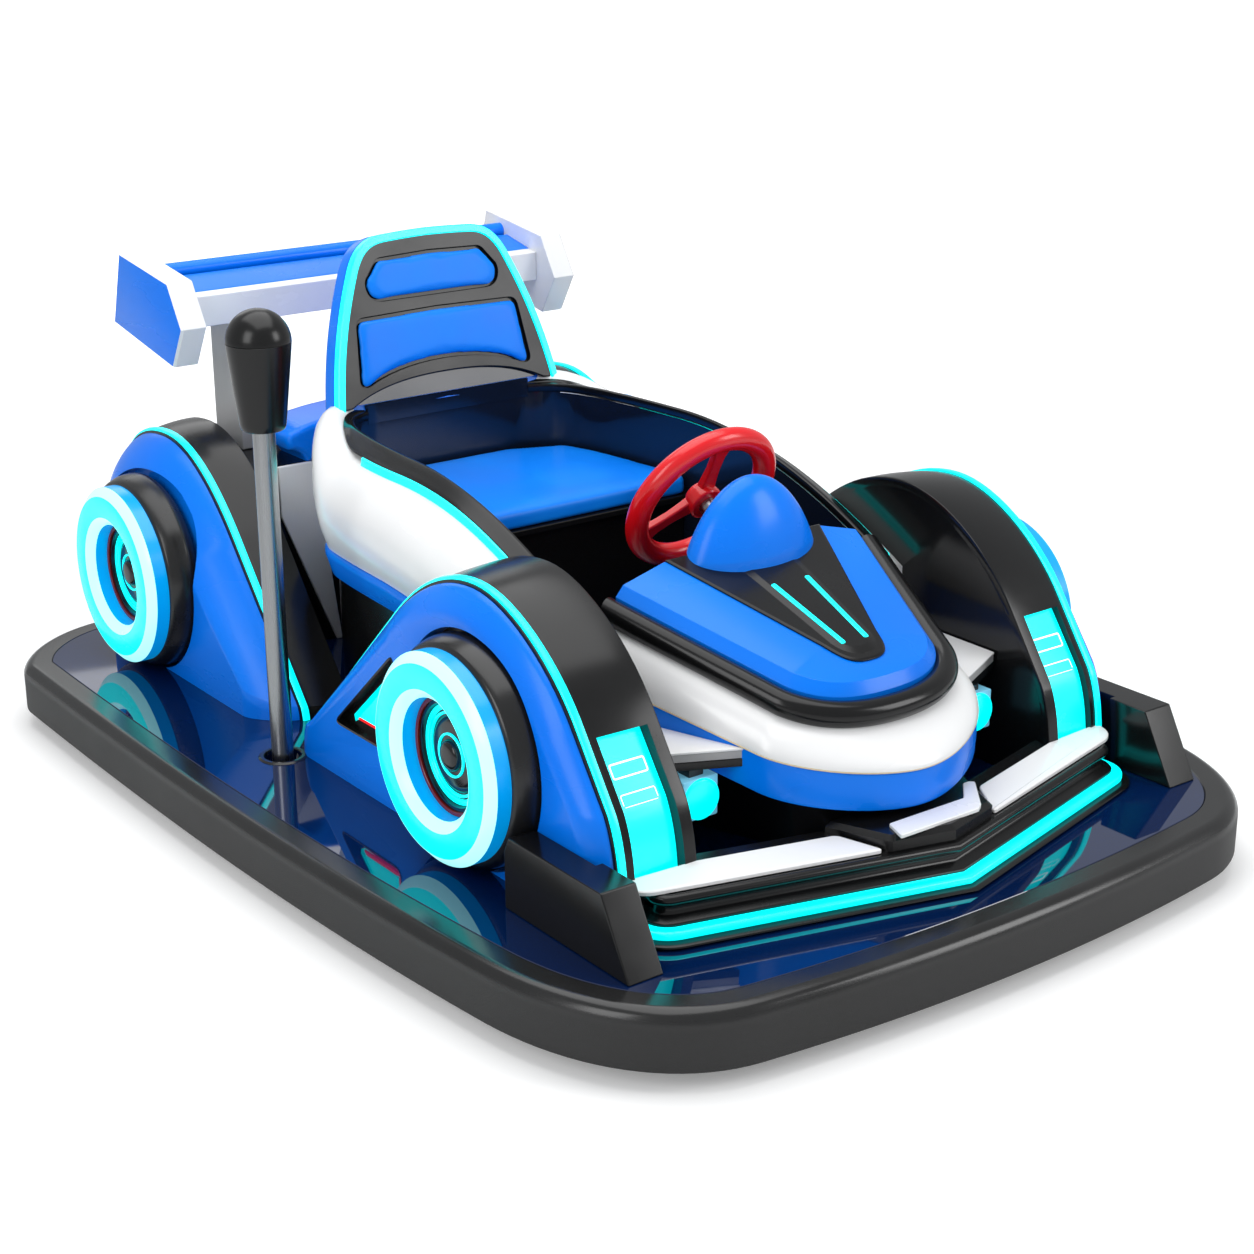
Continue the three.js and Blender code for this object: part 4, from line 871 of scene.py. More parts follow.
def strip_section(y):
    edge = rim_height(y) - 0.011 - 0.009 * ease(y, -0.12, 0.22)
    return [(out, edge - drop) for out, drop in ((0.0225, 0.0015), (0.0262, 0.0012), (0.0284, 0.0022),
        (0.0302, 0.0132), (0.0292, 0.015), (0.024, 0.015))]


for side, first, last in (("left", 0, strip_to), ("right", count - strip_to, count)):
    strip = carry(f"tub_light_strip_{side}", tub_stations[first:last], strip_section)
    settle(soften(strip), cyan_face, "light_cyan")

# ---- seat --------------------------------------------------------------------------------------
# A hollow black seat box over the battery, a blue coated foam bench on it, and a leaning seatback:
# a deep blue shell, a black frame with an arched foot, two thin pads and a lit strip round it.


def from_frame(node, name, edge, segments=3):
    """A finished copy of a construction piece: its loose triangles become whole faces and its
    sharp edges are rounded."""
    piece = frame["nodes"][node].copy()
    piece.data = piece.data.copy()
    piece.data.materials.clear()
    for key in list(piece.keys()):
        del piece[key]
    piece.parent = None
    piece.hide_render = False
    piece.hide_viewport = False
    scene.collection.objects.link(piece)
    piece.name = name
    piece.data.name = name
    only(piece)
    bpy.ops.object.mode_set(mode="EDIT")
    bpy.ops.mesh.select_all(action="SELECT")
    bpy.ops.mesh.remove_doubles(threshold=1e-5)
    bpy.ops.mesh.dissolve_limited(angle_limit=math.radians(0.6))
    bpy.ops.object.mode_set(mode="OBJECT")
    return soften(piece, edge, segments)


settle(from_frame("seat_base", "seat_box", 0.003), shell_black, "shell_black", "seat_base")
frame_steel = grained("frame_steel", (0.012, 0.012, 0.013), (0.02, 0.02, 0.021), (0.4, 0.55), 1200, 0.2,
    0.0003)
settle(from_frame("battery_pack", "battery_case", 0.006), frame_steel, "frame_steel", "battery_pack")


def inner_half(y):
    """Half the tub's width inside at a place along the car."""
    for a, b in zip(inner_line, inner_line[1:]):
        if a.y <= y <= b.y:
            return a.x + (b.x - a.x) * (y - a.y) / (b.y - a.y)
    return 0.1


def plump(piece, cap, voxel=0.005, pressure=4.0):
    """Fills a pad: even small faces, air pressure inside, and no point moves further than a cap."""
    only(piece)
    piece.data.remesh_voxel_size = voxel
    bpy.ops.object.voxel_remesh()
    before = [v.co.copy() for v in piece.data.vertices]
    cloth = piece.modifiers.new("filling", "CLOTH")
    cloth.settings.use_pressure = True
    cloth.settings.uniform_pressure_force = pressure
    cloth.settings.effector_weights.gravity = 0
    for number in range(1, 21):
        scene.frame_set(number)
    moved = piece.evaluated_get(bpy.context.evaluated_depsgraph_get()).to_mesh()
    after = [v.co.copy() for v in moved.vertices]
    piece.modifiers.remove(cloth)
    scene.frame_set(1)
    for vertex, old, new in zip(piece.data.vertices, before, after):
        step = new - old
        vertex.co = old + step * min(1.0, cap / max(step.length, 1e-9))
    rounding = piece.modifiers.new("even", "SMOOTH")
    rounding.factor = 0.5
    rounding.iterations = 4
    bpy.ops.object.modifier_apply(modifier=rounding.name)
    finer = piece.modifiers.new("finer", "SUBSURF")
    finer.levels = 1
    finer.render_levels = 1
    bpy.ops.object.modifier_apply(modifier=finer.name)
    bpy.ops.object.shade_smooth()


seat_blue = grained("seat_blue", (0.0, 0.21, 0.93), (0.0, 0.25, 1.0), (0.34, 0.44), 650, 0.1, 0.0004, 9.0)
seat_blue.node_tree.nodes["Principled BSDF"].inputs["Specular IOR Level"].default_value = 0.25
bench_low, bench_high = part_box("seat_bench")
bench_front, bench_back = bench_low.y, tub_rear - 0.004
half = [Vector((0.0, bench_front)), Vector((inner_half(bench_front) - 0.016, bench_front)),
    Vector((inner_half(bench_front) - 0.006, bench_front + 0.008))]
half += [Vector((inner_half(bench_front + (bench_back - bench_front) * t) - 0.006,
    bench_front + (bench_back - bench_front) * t)) for t in [0.08 * k for k in range(1, 12)]]
half += [Vector((0.11, bench_back - 0.003)), Vector((0.0, bench_back - 0.001))]
bench_outline = mirrored(half)
bench = slab("bench_cushion", bench_outline, "Z", (bench_low.z + 0.001, -0.004),
    (bench_low.z + 0.004, -0.001), (bench_high.z - 0.008, -0.001), (bench_high.z - 0.002, -0.003),
    (bench_high.z + 0.001, -0.008))
plump(bench, 0.003, 0.006)
settle(bench, seat_blue, "seat_blue", "seat_bench")
lip = slab("bench_board", bench_outline, "Z", (bench_low.z - 0.0095, 0.001), (bench_low.z - 0.0085, 0.002),
    (bench_low.z - 0.001, 0.002), (bench_low.z + 0.0004, 0.001))
settle(soften(lip), shell_black, "shell_black")

lean_angle = math.radians(14)
back_foot = Vector((0, 0.402, rim_height(tub_rear) + 0.0073))


def leaned(x, up, deep):
    """A point of the seatback: across, up along its face, and deep behind its face."""
    return (x, back_foot.y + deep * math.cos(lean_angle) + up * math.sin(lean_angle),
        back_foot.z - deep * math.sin(lean_angle) + up * math.cos(lean_angle))


def back_slab(name, outline, *levels):
    """An outline on the seatback's face, pushed through (depth, growth) levels."""
    return draw_out(name, [[leaned(p.x, p.y, deep) for p in grown(outline, growth)]
        for deep, growth in levels])


back_half = path((0.205, 0), [(0.197, 0.055), (0.183, 0.105)], [(0.169, 0.155), (0.147, 0.205)],
    [(0.129, 0.25), (0.106, 0.2595), (0.078, 0.261)], [(0.04, 0.2635), (0.0, 0.264)], divisions=12)
back_outline = list(reversed(mirrored(list(reversed(back_half)))))
arch_half = path((0.0, 0.037), [(0.07, 0.037), (0.13, 0.03), (0.183, 0.001)], divisions=14)


# The frame has the seatback's outline, with its foot arched.
frame_outline = mirrored(arch_half + [Vector((0.196, 0.0))] + back_half[1:])
back_frame = back_slab("seatback_frame", frame_outline, (0.012, 0), (0.0015, 0), (0.0, -0.0015))
upper_pad = path((0.0, 0.163), [(0.098, 0.163)], [(0.124, 0.163), (0.127, 0.188), (0.122, 0.198)],
    [(0.102, 0.223)], [(0.097, 0.229), (0.088, 0.229)], [(0.0, 0.232)], divisions=8)
lower_pad = path((0.0, 0.06), [(0.07, 0.06), (0.118, 0.046), (0.144, 0.034)],
    [(0.162, 0.028), (0.161, 0.044)], [(0.152, 0.126)], [(0.15, 0.139), (0.136, 0.139)], [(0.0, 0.142)],
    divisions=8)
pads = {"upper": mirrored(upper_pad), "lower": mirrored(lower_pad)}
for label, outline in pads.items():
    cut(back_frame, back_slab("window", outline, (-0.01, 0.0012), (0.007, 0.0012)))
settle(soften(back_frame, 0.0012, 2, 40), shell_black, "shell_black", "seatback_frame")
for label, outline in pads.items():
    pad = back_slab(f"back_pad_{label}", outline, (0.006, -0.002), (0.0055, -0.001), (0.002, -0.001),
        (-0.0005, -0.004))
    plump(pad, 0.003, 0.004)
    settle(pad, seat_blue, "seat_blue", f"seat_pad_{label}")

shell_levels = [(0.0125, 0.002), (0.0125, 0.0045), (0.0145, 0.006)]
shell_levels += [(0.036 + 0.018 * math.sin(a), 0.006 - 0.018 * (1 - math.cos(a)))
    for a in [math.radians(10 * k) for k in range(10)]]
back_shell = back_slab("seatback_shell", back_outline, *shell_levels)
settle(soften(back_shell, angle=40), shell_blue, "shell_blue", "seatback_shell")

edge_line = [Vector((-p.x, p.y)) for p in back_half] + list(reversed(back_half))[1:]


def edge_strip(name, line, section):
    """A strip along an open line on the seatback. The section is (inwards, deep)."""
    rings = []
    for i, here in enumerate(line):
        along = (line[min(i + 1, len(line) - 1)] - line[max(i - 1, 0)]).normalized()
        inward = Vector((along.y, -along.x))
        rings.append([leaned(here.x + inward.x * a, here.y + inward.y * a, deep) for a, deep in section])
    return draw_out(name, rings)


back_strip = edge_strip("seatback_light_strip", edge_line, [(-0.005, 0.0122), (-0.0058, 0.01),
    (-0.005, -0.001), (-0.0035, -0.0026), (0.006, -0.003), (0.0075, -0.0015), (0.0075, 0.0015),
    (-0.0005, 0.004), (-0.0012, 0.0122)])
settle(soften(back_strip), cyan_face, "light_cyan")

# The tub's dark lining rises behind the frame's arched foot.
lining = back_slab("back_lining", back_outline, (0.0124, -0.006), (0.0085, -0.006))
cut(lining, back_slab("above", [Vector((-0.3, 0.05)), Vector((0.3, 0.05)), Vector((0.3, 0.4)),
    Vector((-0.3, 0.4))], (-0.02, 0), (0.05, 0)))
settle(soften(lining), tub_dark, "shell_black")

# ---- nose --------------------------------------------------------------------------------------
# Glass-fibre mouldings stacked over the drive unit: a black base, a blue band, a white shell with
# a thin cream strip of painted highlight on its lower edge, a thick black bead and a chamfered blue hood.
hood_rear, hood_front = -0.343, -0.645


def nose_plan(grow, front):
    """The nose from above: straight sides that taper, and a rounded front."""
    shoulder = -0.588 - grow * 0.3
    half = path((0.222 + grow, hood_rear), [(0.132 + grow, shoulder)],
        [(0.11 + grow, shoulder - 0.04 - grow * 0.3), (0.07, front), (0.0, front)], divisions=24)
    return mirrored(half)


def hood_height(y):
    return deck_top + 0.316 + 0.301 * (y - hood_rear)


def nose_height(y):
    return deck_top + 0.141 + 0.22 * (y + 0.722)


def top_height(y):
    """The hood's flat top, where the insert and the cowl stand."""
    return hood_height(y) + 0.033 + 0.055 * (y - hood_rear)


def stacked(name, *levels):
    """A solid through outlines of the nose. A level is (growth, front, height), where a height is
    worked out along the car, or is a rise over the nose's lower line."""
    rings = []
    for grow, front, height in levels:
        level = height if callable(height) else lambda y: nose_height(y) + height
        rings.append([(p.x, p.y, level(p.y)) for p in nose_plan(grow, front)])
    return draw_out(name, rings)


band_depth = 0.054
base = stacked("nose_base", (-0.03, hood_front + 0.03, lambda y: foot), (-0.012, -0.686, -0.105),
    (0.002, -0.676, -0.07), (0.008, -0.668, -0.0575), (0.006, -0.664, -band_depth - 0.0003))
cut(base, drum("can_space", (0, middle.y, foot), well_radius + 0.0103, 0.4))
settle(soften(base, angle=40), shell_black, "shell_black", "nose_base")

band = stacked("nose_band", (0.052, -0.713, -band_depth), (0.055, -0.7165, -band_depth + 0.0008),
    (0.0565, -0.7185, -band_depth + 0.004), (0.0575, -0.7205, -0.03), (0.0575, -0.7205, -0.004),
    (0.0565, -0.7195, -0.0006), (0.055, -0.718, -0.0002))
settle(soften(band, angle=50), shell_blue, "shell_blue", "nose_band")

# The white shell swells from its lower edge and turns in under the bead.
swell = path((0.057, -0.7205, 0.0006), [(0.058, -0.722, 0.0016)], [(0.0585, -0.7225, 0.004)],
    [(0.06, -0.726, 0.34), (0.049, -0.703, 0.8), (0.024, -0.671, 1.0)],
    [(0.01, -0.657, 1.1), (0.002, -0.647, 1.14)], divisions=12)


def shell_height(share):
    def height(y):
        low = nose_height(y)
        return low + share if share < 0.01 else low + share * (hood_height(y) - 0.03 - low)
    return height


nose_shell = stacked("nose_shell", *[(p.x, p.y, shell_height(p.z)) for p in swell])
settle(soften(nose_shell, angle=50), shell_white, "shell_white", "nose_shell")
# The thin cream strip along the white shell's lower edge is a painted highlight where the shell rounds
# under.
cream_highlight = polished("cream_highlight", (0.8, 0.66, 0.42), (0.74, 0.6, 0.38), (0.2, 0.3))
nose_line = stations(nose_plan(0.0578, -0.7217))
edge_highlight = carry("nose_edge_highlight", nose_line, lambda y: [(out, nose_height(y) + rise)
    for out, rise in ((-0.002, 0.0002), (0.0004, 0.0002), (0.0011, 0.0008), (0.0013, 0.0016),
    (0.001, 0.0024), (-0.002, 0.0028))])
settle(soften(edge_highlight), cream_highlight, "shell_white")

bead_radius = 0.018
bead_line = stations(nose_plan(0.012, hood_front - 0.012))
ring_angles = [2 * math.pi * k / 28 for k in range(28)]
bead = carry("hood_bead", bead_line, lambda y: [(bead_radius * math.cos(a),
    hood_height(y) - 0.016 + bead_radius * math.sin(a)) for a in ring_angles])
settle(soften(bead, angle=50), shell_black, "shell_black", "hood_bead")


def hood_rings(outline, *levels):
    """An outline on the hood's flat top, moved through levels of (growth, rise)."""
    return [[(p.x, p.y, top_height(p.y) + rise) for p in grown(outline, growth)] for growth, rise in levels]


# The flat top of the hood has two straight sides that taper, and a round front.
hood_flat = mirrored(path((0.139, hood_rear), [(0.049, -0.563)],
    [(0.04, -0.59), (0.036, -0.609), (0.012, -0.609), (0.0, -0.609)], divisions=24))
hood = draw_out("hood_panel", [[(p.x, p.y, hood_height(p.y) + rise)
    for p in nose_plan(grow, hood_front + setback)] for grow, setback, rise in ((-0.004, 0.004, -0.06),
    (-0.001, 0.001, 0.0), (-0.0135, 0.0095, 0.0145))] + hood_rings(hood_flat, (0.0, 0.0)))
wheel_middle = Vector((0, -0.248, deck_top + 0.393))
wheel_axis = Vector((0, math.sin(math.radians(61.7)), math.cos(math.radians(61.7))))
wheel_up = Vector((0, -wheel_axis.z, wheel_axis.y))


def on_wheel(across, up, along):
    """A point given in the steering wheel's own directions."""
    return wheel_middle + Vector((across, 0, 0)) + wheel_up * up + wheel_axis * along


def bar_along(name, start_point, end_point, radius, sides=32):
    """A round bar between two points."""
    length = Vector(end_point) - Vector(start_point)
    turn = length.to_track_quat("Z", "Y").to_euler()
    piece = start("cylinder", name, vertices=sides, radius=radius, depth=length.length, rotation=turn,
        location=(Vector(start_point) + Vector(end_point)) / 2)
    bpy.ops.object.transform_apply(location=True, rotation=True, scale=True)
    return piece


def clear_column(piece):
    """Cuts the space of the steering column out of a piece."""
    cut(piece, bar_along("column_space", on_wheel(0, 0, -0.024), on_wheel(0, 0, -0.119), 0.0143))


clear_column(hood)
settle(soften(hood, 0.0018, 3, 16), shell_blue, "shell_blue", "hood_panel")

# The insert is a black plate let on to the hood, with a raised middle that narrows forwards and
# two lit bars let into it.
insert = draw_out("hood_insert", hood_rings(hood_flat, (-0.001, 0.0003), (-0.0005, 0.0026),
    (-0.0035, 0.0042)))
clear_column(insert)
settle(soften(insert, 0.0008, 2, 20), shell_black, "shell_black", "hood_insert")
ridge = path((0.0, -0.598), [(0.02, -0.598), (0.03, -0.589), (0.036, -0.568)], [(0.052, hood_rear - 0.004)],
    [(0.0, hood_rear - 0.004)], divisions=14)
ridge_rings = hood_rings(mirrored(ridge), (0.0, 0.0038), (-0.0005, 0.0044), (-0.011, 0.0066),
    (-0.013, 0.0067))
settle(soften(draw_out("insert_ridge", ridge_rings), 0.0006, 2, 8), shell_black, "shell_black")
for side, way in sides:
    bar_line = [Vector((way * (0.03 - 0.01 * t), -0.441 - 0.134 * t)) for t in (0.0, 1.0)]
    along = (bar_line[1] - bar_line[0]).normalized()
    across = Vector((along.y, -along.x)) * 0.004
    corners = [bar_line[0] + across, bar_line[1] + across, bar_line[1] - across, bar_line[0] - across]
    rings = hood_rings(rounded(corners, 0.0028), (0.0, 0.0055), (0.0, 0.0074), (-0.0006, 0.008),
        (-0.0014, 0.0082))
    settle(soften(draw_out(f"hood_light_bar_{side}", rings)), cyan_face, "light_cyan")

# The cowl is a smooth egg-shaped hood over the steering column, cut off behind and at its foot.
cowl_y, cowl_foot = -0.356, top_height(-0.356)
cowl_side = path((1, 0), [(0.84, 0.5), (0.45, 1.0), (0, 1.0)], divisions=40) + [Vector((0, -0.4)),
    Vector((1, -0.4))]
cowl = spin_round("cowl_dome", [(p.x, 0, p.y) for p in cowl_side], (0, 0, 0), (0, 0, 1), 128)
bpy.ops.object.mode_set(mode="EDIT")
bpy.ops.transform.resize(value=(0.107, 0.052, 0.556 - cowl_foot), center_override=(0, 0, 0))
bpy.ops.transform.translate(value=(0, cowl_y, cowl_foot))
slope_normal = Vector((0, -0.356, 1)).normalized()
bpy.ops.mesh.select_all(action="SELECT")
bpy.ops.mesh.bisect(plane_co=(0, cowl_y, cowl_foot + 0.0043), plane_no=slope_normal, use_fill=True,
    clear_inner=True)
bpy.ops.mesh.select_all(action="SELECT")
bpy.ops.mesh.bisect(plane_co=(0, -0.322, 0), plane_no=(0, 1, 0), use_fill=True, clear_outer=True)
bpy.ops.object.mode_set(mode="OBJECT")
clear_column(cowl)
settle(soften(cowl, 0.002, 3, 40), shell_blue, "shell_blue", "cowl_dome")

# ---- steering ----------------------------------------------------------------------------------
# A red rubber-coated wheel with three box spokes on a stepped boss, on a plain steel column.


def turned_on(name, profile, centre, axis, side, steps=96):
    """A closed profile of (radius, distance along the axis), turned round any axis."""
    points = [centre + side * r + axis * d for r, d in profile]
    return spin_round(name, points, centre, axis, steps)


wheel_red = polished("wheel_red", (0.8, 0.006, 0.012), (0.72, 0.004, 0.009), (0.18, 0.28), ripple=20.0,
    coat=0.2)
rim_radius, tube_radius = 0.107, 0.017
rim_section_points = [(rim_radius + tube_radius * math.cos(a), 0.92 * tube_radius * math.sin(a))
    for a in [2 * math.pi * k / 32 for k in range(32)]]
wheel_rim = turned_on("steering_wheel_rim", rim_section_points, wheel_middle, wheel_axis, wheel_up, 120)
settle(soften(wheel_rim, angle=50), wheel_red, "wheel_red", "steering_wheel", body="steering")
boss_profile = [(0, -0.016), (0.0235, -0.016), (0.0255, -0.014), (0.026, -0.01), (0.025, 0.004),
    (0.0235, 0.0055), (0.0195, 0.006), (0.019, 0.0115), (0.018, 0.0125), (0.013, 0.013), (0.0125, 0.015),
    (0.0115, 0.016), (0, 0.016)]
boss = turned_on("steering_wheel_boss", boss_profile, wheel_middle, wheel_axis, wheel_up, 64)
settle(soften(boss, 0.0004, 2), wheel_red, "wheel_red", body="steering")
for number in range(3):
    angle = math.radians(90 + 120 * number)
    outward = Vector((math.cos(angle), math.sin(angle)))
    across = Vector((-outward.y, outward.x))
    rings = []
    for reach, half, deep in ((0.016, 0.0125, 0.0075), (0.03, 0.011, 0.0065), (0.055, 0.009, 0.0058),
            (0.078, 0.0098, 0.006), (0.09, 0.0125, 0.0068), (0.1005, 0.0185, 0.008)):
        corners = [Vector((-half, -deep)), Vector((half, -deep)), Vector((half, deep)),
            Vector((-half, deep))]
        section = rounded(corners, 0.0032, 4)
        rings.append([on_wheel(*(outward * reach + across * p.x), p.y) for p in section])
    spoke = draw_out(f"steering_wheel_spoke_{number + 1}", rings)
    settle(soften(spoke, angle=35), wheel_red, "wheel_red", body="steering")
bright_steel, tree, shader, place = finish_tree("bright_steel")
skin = put(tree, "Group", {"Place": place}, node_tree=skin_group)
brushed = put(tree, "Mapping", {"Vector": place, "Scale": (900.0, 900.0, 14.0)})
lines = put(tree, "TexNoise", {"Vector": brushed.outputs[0], "Scale": 1.0, "Detail": 3.0})
tint = put(tree, "Mix", {0: skin.outputs["Tone"], 6: (0.29, 0.3, 0.31, 1), 7: (0.37, 0.38, 0.39, 1)},
    data_type="RGBA")
dull = put(tree, "MapRange", {"Value": lines.outputs["Fac"], "To Min": 0.2, "To Max": 0.36})
relief = put(tree, "Bump", {"Strength": 0.12, "Distance": 0.0003, "Height": lines.outputs["Fac"]})
feed(tree, shader, {"Base Color": tint.outputs[2], "Roughness": dull.outputs["Result"],
    "Normal": relief.outputs[0], "Metallic": 1.0})
column_profile = [(0, -0.118), (0.0135, -0.118), (0.014, -0.1175), (0.014, -0.045), (0.0165, -0.0445),
    (0.0175, -0.043), (0.0175, -0.031), (0.0165, -0.0295), (0.014, -0.029), (0.014, -0.0168),
    (0.0135, -0.0163), (0, -0.0163)]
column = turned_on("steering_column", column_profile, wheel_middle, wheel_axis, wheel_up, 64)
settle(soften(column), bright_steel, "bright_steel", "steering_column")

# ---- front wing --------------------------------------------------------------------------------
# A black swept moulding with two rolled lips, a light bar in the groove between them, white covers
# on its shelf, an upright plate at each end and a splitter under the nose.
apex_y, sweep = -0.782, 0.262
wing_end = 0.402
wing_half = path((0.0, apex_y), [(wing_end - 0.02, apex_y + sweep * (wing_end - 0.02))],
    [(wing_end - 0.006, apex_y + sweep * (wing_end - 0.006)), (wing_end, -0.668), (wing_end, -0.655)],
    [(wing_end, -0.6345)], divisions=16)
wing_line = stations(mirrored(list(reversed(wing_half))))


def on_wing(*points):
    """A section given as (forward of the wing's front line, height over the deck)."""
    return lambda y: [(forward, deck_top + height) for forward, height in points]


moulding = carry("front_wing", wing_line, on_wing((-0.012, 0.0003), (0.022, 0.0003), (0.03, 0.001),
    (0.0345, 0.0024), (0.0362, 0.004), (0.0354, 0.0058), (0.0325, 0.007), (0.0285, 0.0074), (0.0105, 0.0074),
    (0.0095, 0.0088), (0.0095, 0.0226), (0.0075, 0.025), (-0.003, 0.029), (-0.006, 0.033), (-0.006, 0.0395),
    (-0.0035, 0.0422), (0.001, 0.044), (0.003, 0.0475), (0.0032, 0.051), (0.0015, 0.0543), (-0.002, 0.0562),
    (-0.006, 0.0568), (-0.012, 0.054)))
settle(soften(moulding, angle=38), shell_black, "shell_black", "front_wing")
light_bar = carry("front_wing_light_bar", wing_line, on_wing((0.0085, 0.0082), (0.022, 0.0082),
    (0.024, 0.0092), (0.0246, 0.0112), (0.0246, 0.0158), (0.0234, 0.018), (0.02, 0.0192), (0.0085, 0.02)))
settle(soften(light_bar, angle=50), cyan_face, "light_cyan")


def shelf_height(depth):
    """The shelf rises gently towards the rear. The depth is measured back from the front line."""
    return deck_top + 0.0558 + 0.133 * (depth - 0.009)


shelf_rings = []
for x in [-0.396, -0.388, -0.374, -0.3145, -0.3135, 0, 0.3135, 0.3145, 0.374, 0.388, 0.396]:
    line_y = apex_y + sweep * abs(x)
    tuck = 0.0 if abs(x) < 0.37 else 0.0015 + 0.6 * (abs(x) - 0.374)
    front_y = line_y + 0.0085 + tuck
    back_y = line_y + 0.095 if abs(x) < 0.314 else -0.6335
    heel = shelf_height(0.095) - 0.012 if abs(x) < 0.314 else shelf_height(back_y - line_y)
    shelf_rings.append([(x, front_y, foot), (x, front_y, shelf_height(front_y - line_y)),
        (x, back_y - 0.01, shelf_height(back_y - 0.01 - line_y)), (x, back_y, heel), (x, back_y, foot)])
settle(soften(draw_out("front_wing_shelf", shelf_rings), 0.001, 2), shell_black, "shell_black",
    "front_wing")

post_grey = grained("post_grey", (0.38, 0.38, 0.385), (0.44, 0.44, 0.445), (0.34, 0.46), 800, 0.12, 0.0003)
tyre_back, tyre_room = 0.432, 0.1595
lamp_acrylic = lit_acrylic("lamp_acrylic", (0.12, 0.42, 0.62), (0.2, 0.55, 0.75), 0.35)
for side, way in sides:
    # A cover strip lies on the shelf: its outline is given as (across the car, depth from the line).
    strip_line = path((0.106, 0.01), [(0.401, 0.01)], [(0.42, 0.011), (0.43, 0.022), (0.427, 0.038)],
        [(0.424, 0.042)], [(0.418, 0.046), (0.408, 0.0465)], [(0.317, 0.061)], [(0.134, 0.061)],
        [(0.128, 0.06), (0.125, 0.056)], [(0.101, 0.016)], [(0.099, 0.012), (0.101, 0.01), (0.106, 0.01)],
        divisions=7)[:-1]
    rings = [[(way * p.x, apex_y + sweep * p.x + p.y, shelf_height(p.y) + rise)
        for p in grown(strip_line, growth)] for growth, rise in ((0.0, 0.0012), (0.0, 0.0052),
        (-0.0012, 0.0064), (-0.0035, 0.007))]
    cover = draw_out(f"wing_cover_{side}", rings)
    settle(soften(cover), shell_white, "shell_white", f"wing_cover_{side}")

    # The end plate stands on the deck beside the wheel and is notched round the tyre.
    plate_low, plate_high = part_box(f"front_end_plate_{side}")
    inner_x, outer_x = sorted((abs(plate_low.x), abs(plate_high.x)))
    plate = slab(f"front_end_plate_{side}", [Vector((plate_low.y, foot)), Vector((-0.693, plate_high.z)),
        Vector((plate_high.y, plate_high.z)), Vector((plate_high.y, foot))], "X", way * inner_x,
        way * outer_x)
    spot = wheel_centre["front", side]
    tyre_space = drum("tyre_space", (way * (tyre_back + 0.1), spot.y, spot.z), tyre_room, 0.2, "X", 128)
    rings = [[(x, y, z - (0.01 if z < foot + 1e-4 else 0)) for x, y, z in arch_ring(front_arch, spot.y,
        way * across_x, 0.0006)] for across_x in (fender_inner, fender_outer + 0.0006)]
    cut(plate, tyre_space, draw_out("fender_space", rings))
    settle(soften(plate, 0.0022, 3, 20), shell_black, "shell_black", f"front_end_plate_{side}")

    # A shelf plate joins the nose to the fender: white on top, with a grey front edge that is painted shade
    # on the white, and a black front edge below it.
    shelf_low, shelf_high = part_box(f"nose_plate_{side}")
    reach = max(abs(shelf_low.x), abs(shelf_high.x))
    top_z, thickness = shelf_high.z, shelf_high.z - shelf_low.z

    def shelf_plate(name, low_z, high_z, set_back):
        front_y = -0.606 + set_back
        corners = ((0.15, front_y), (reach, front_y + 0.482 * (reach - 0.15)), (reach, hood_rear),
            (0.15, hood_rear))
        piece = slab(name, [Vector((way * x, y)) for x, y in corners], "Z", low_z, high_z)
        cut(piece, stacked("nose_space", (0.057, -0.72, -0.13), (0.057, -0.72, 0.07)))
        return piece

    white_plate = shelf_plate(f"nose_plate_{side}", top_z - 0.0035, top_z, 0.0)
    settle(soften(white_plate, 0.001, 2), shell_white, "shell_white", f"nose_plate_{side}")
    # The grey layer stands for the shadowed front face of the white plate: painted shade in the posts' grey.
    shade_grey_plate = shelf_plate(f"nose_plate_{side}_edge", top_z - 0.0145, top_z - 0.0036, 0.0012)
    settle(soften(shade_grey_plate, 0.0008, 2), post_grey, "post_grey")
    black_plate = shelf_plate(f"nose_plate_{side}_core", top_z - thickness, top_z - 0.0146, 0.0004)
    settle(soften(black_plate, 0.001, 2), shell_black, "shell_black")

    # A lamp hangs under the plate: a clear pale block with a round lit lens.
    lens_x, lens_z, half = way * 0.248, deck_top + 0.107, 0.0285
    corners = [Vector((lens_x + half * x, lens_z + half * z)) for x, z in ((-1, -1), (1, -1), (1, 1),
        (-1, 1))]
    case = slab(f"nose_light_{side}_case", rounded(corners, 0.003), "Y", (-0.561, -0.001), (-0.56, 0.0),
        (-0.525, 0.0), (-0.524, -0.001))
    settle(soften(case), lamp_acrylic, "lamp_cyan", f"nose_light_{side}")
    hanger = block(f"nose_light_{side}_hanger", (lens_x - 0.012, -0.552, lens_z + half - 0.0005),
        (lens_x + 0.012, -0.528, shelf_low.z - 0.0002))
    settle(soften(hanger, 0.0015, 2), frame_steel, "frame_steel")
    lens_profile = [(0, -0.56), (0.028, -0.56), (0.028, -0.564), (0.0272, -0.5652), (0.024, -0.5662),
        (0.016, -0.5672), (0.008, -0.5678), (0, -0.568)]
    lens = spin_round(f"nose_light_{side}_lens", [(lens_x + r, y, lens_z) for r, y in lens_profile],
        (lens_x, 0, lens_z), (0, 1, 0), 64)
    settle(soften(lens, angle=50), cyan_face, "lamp_cyan")

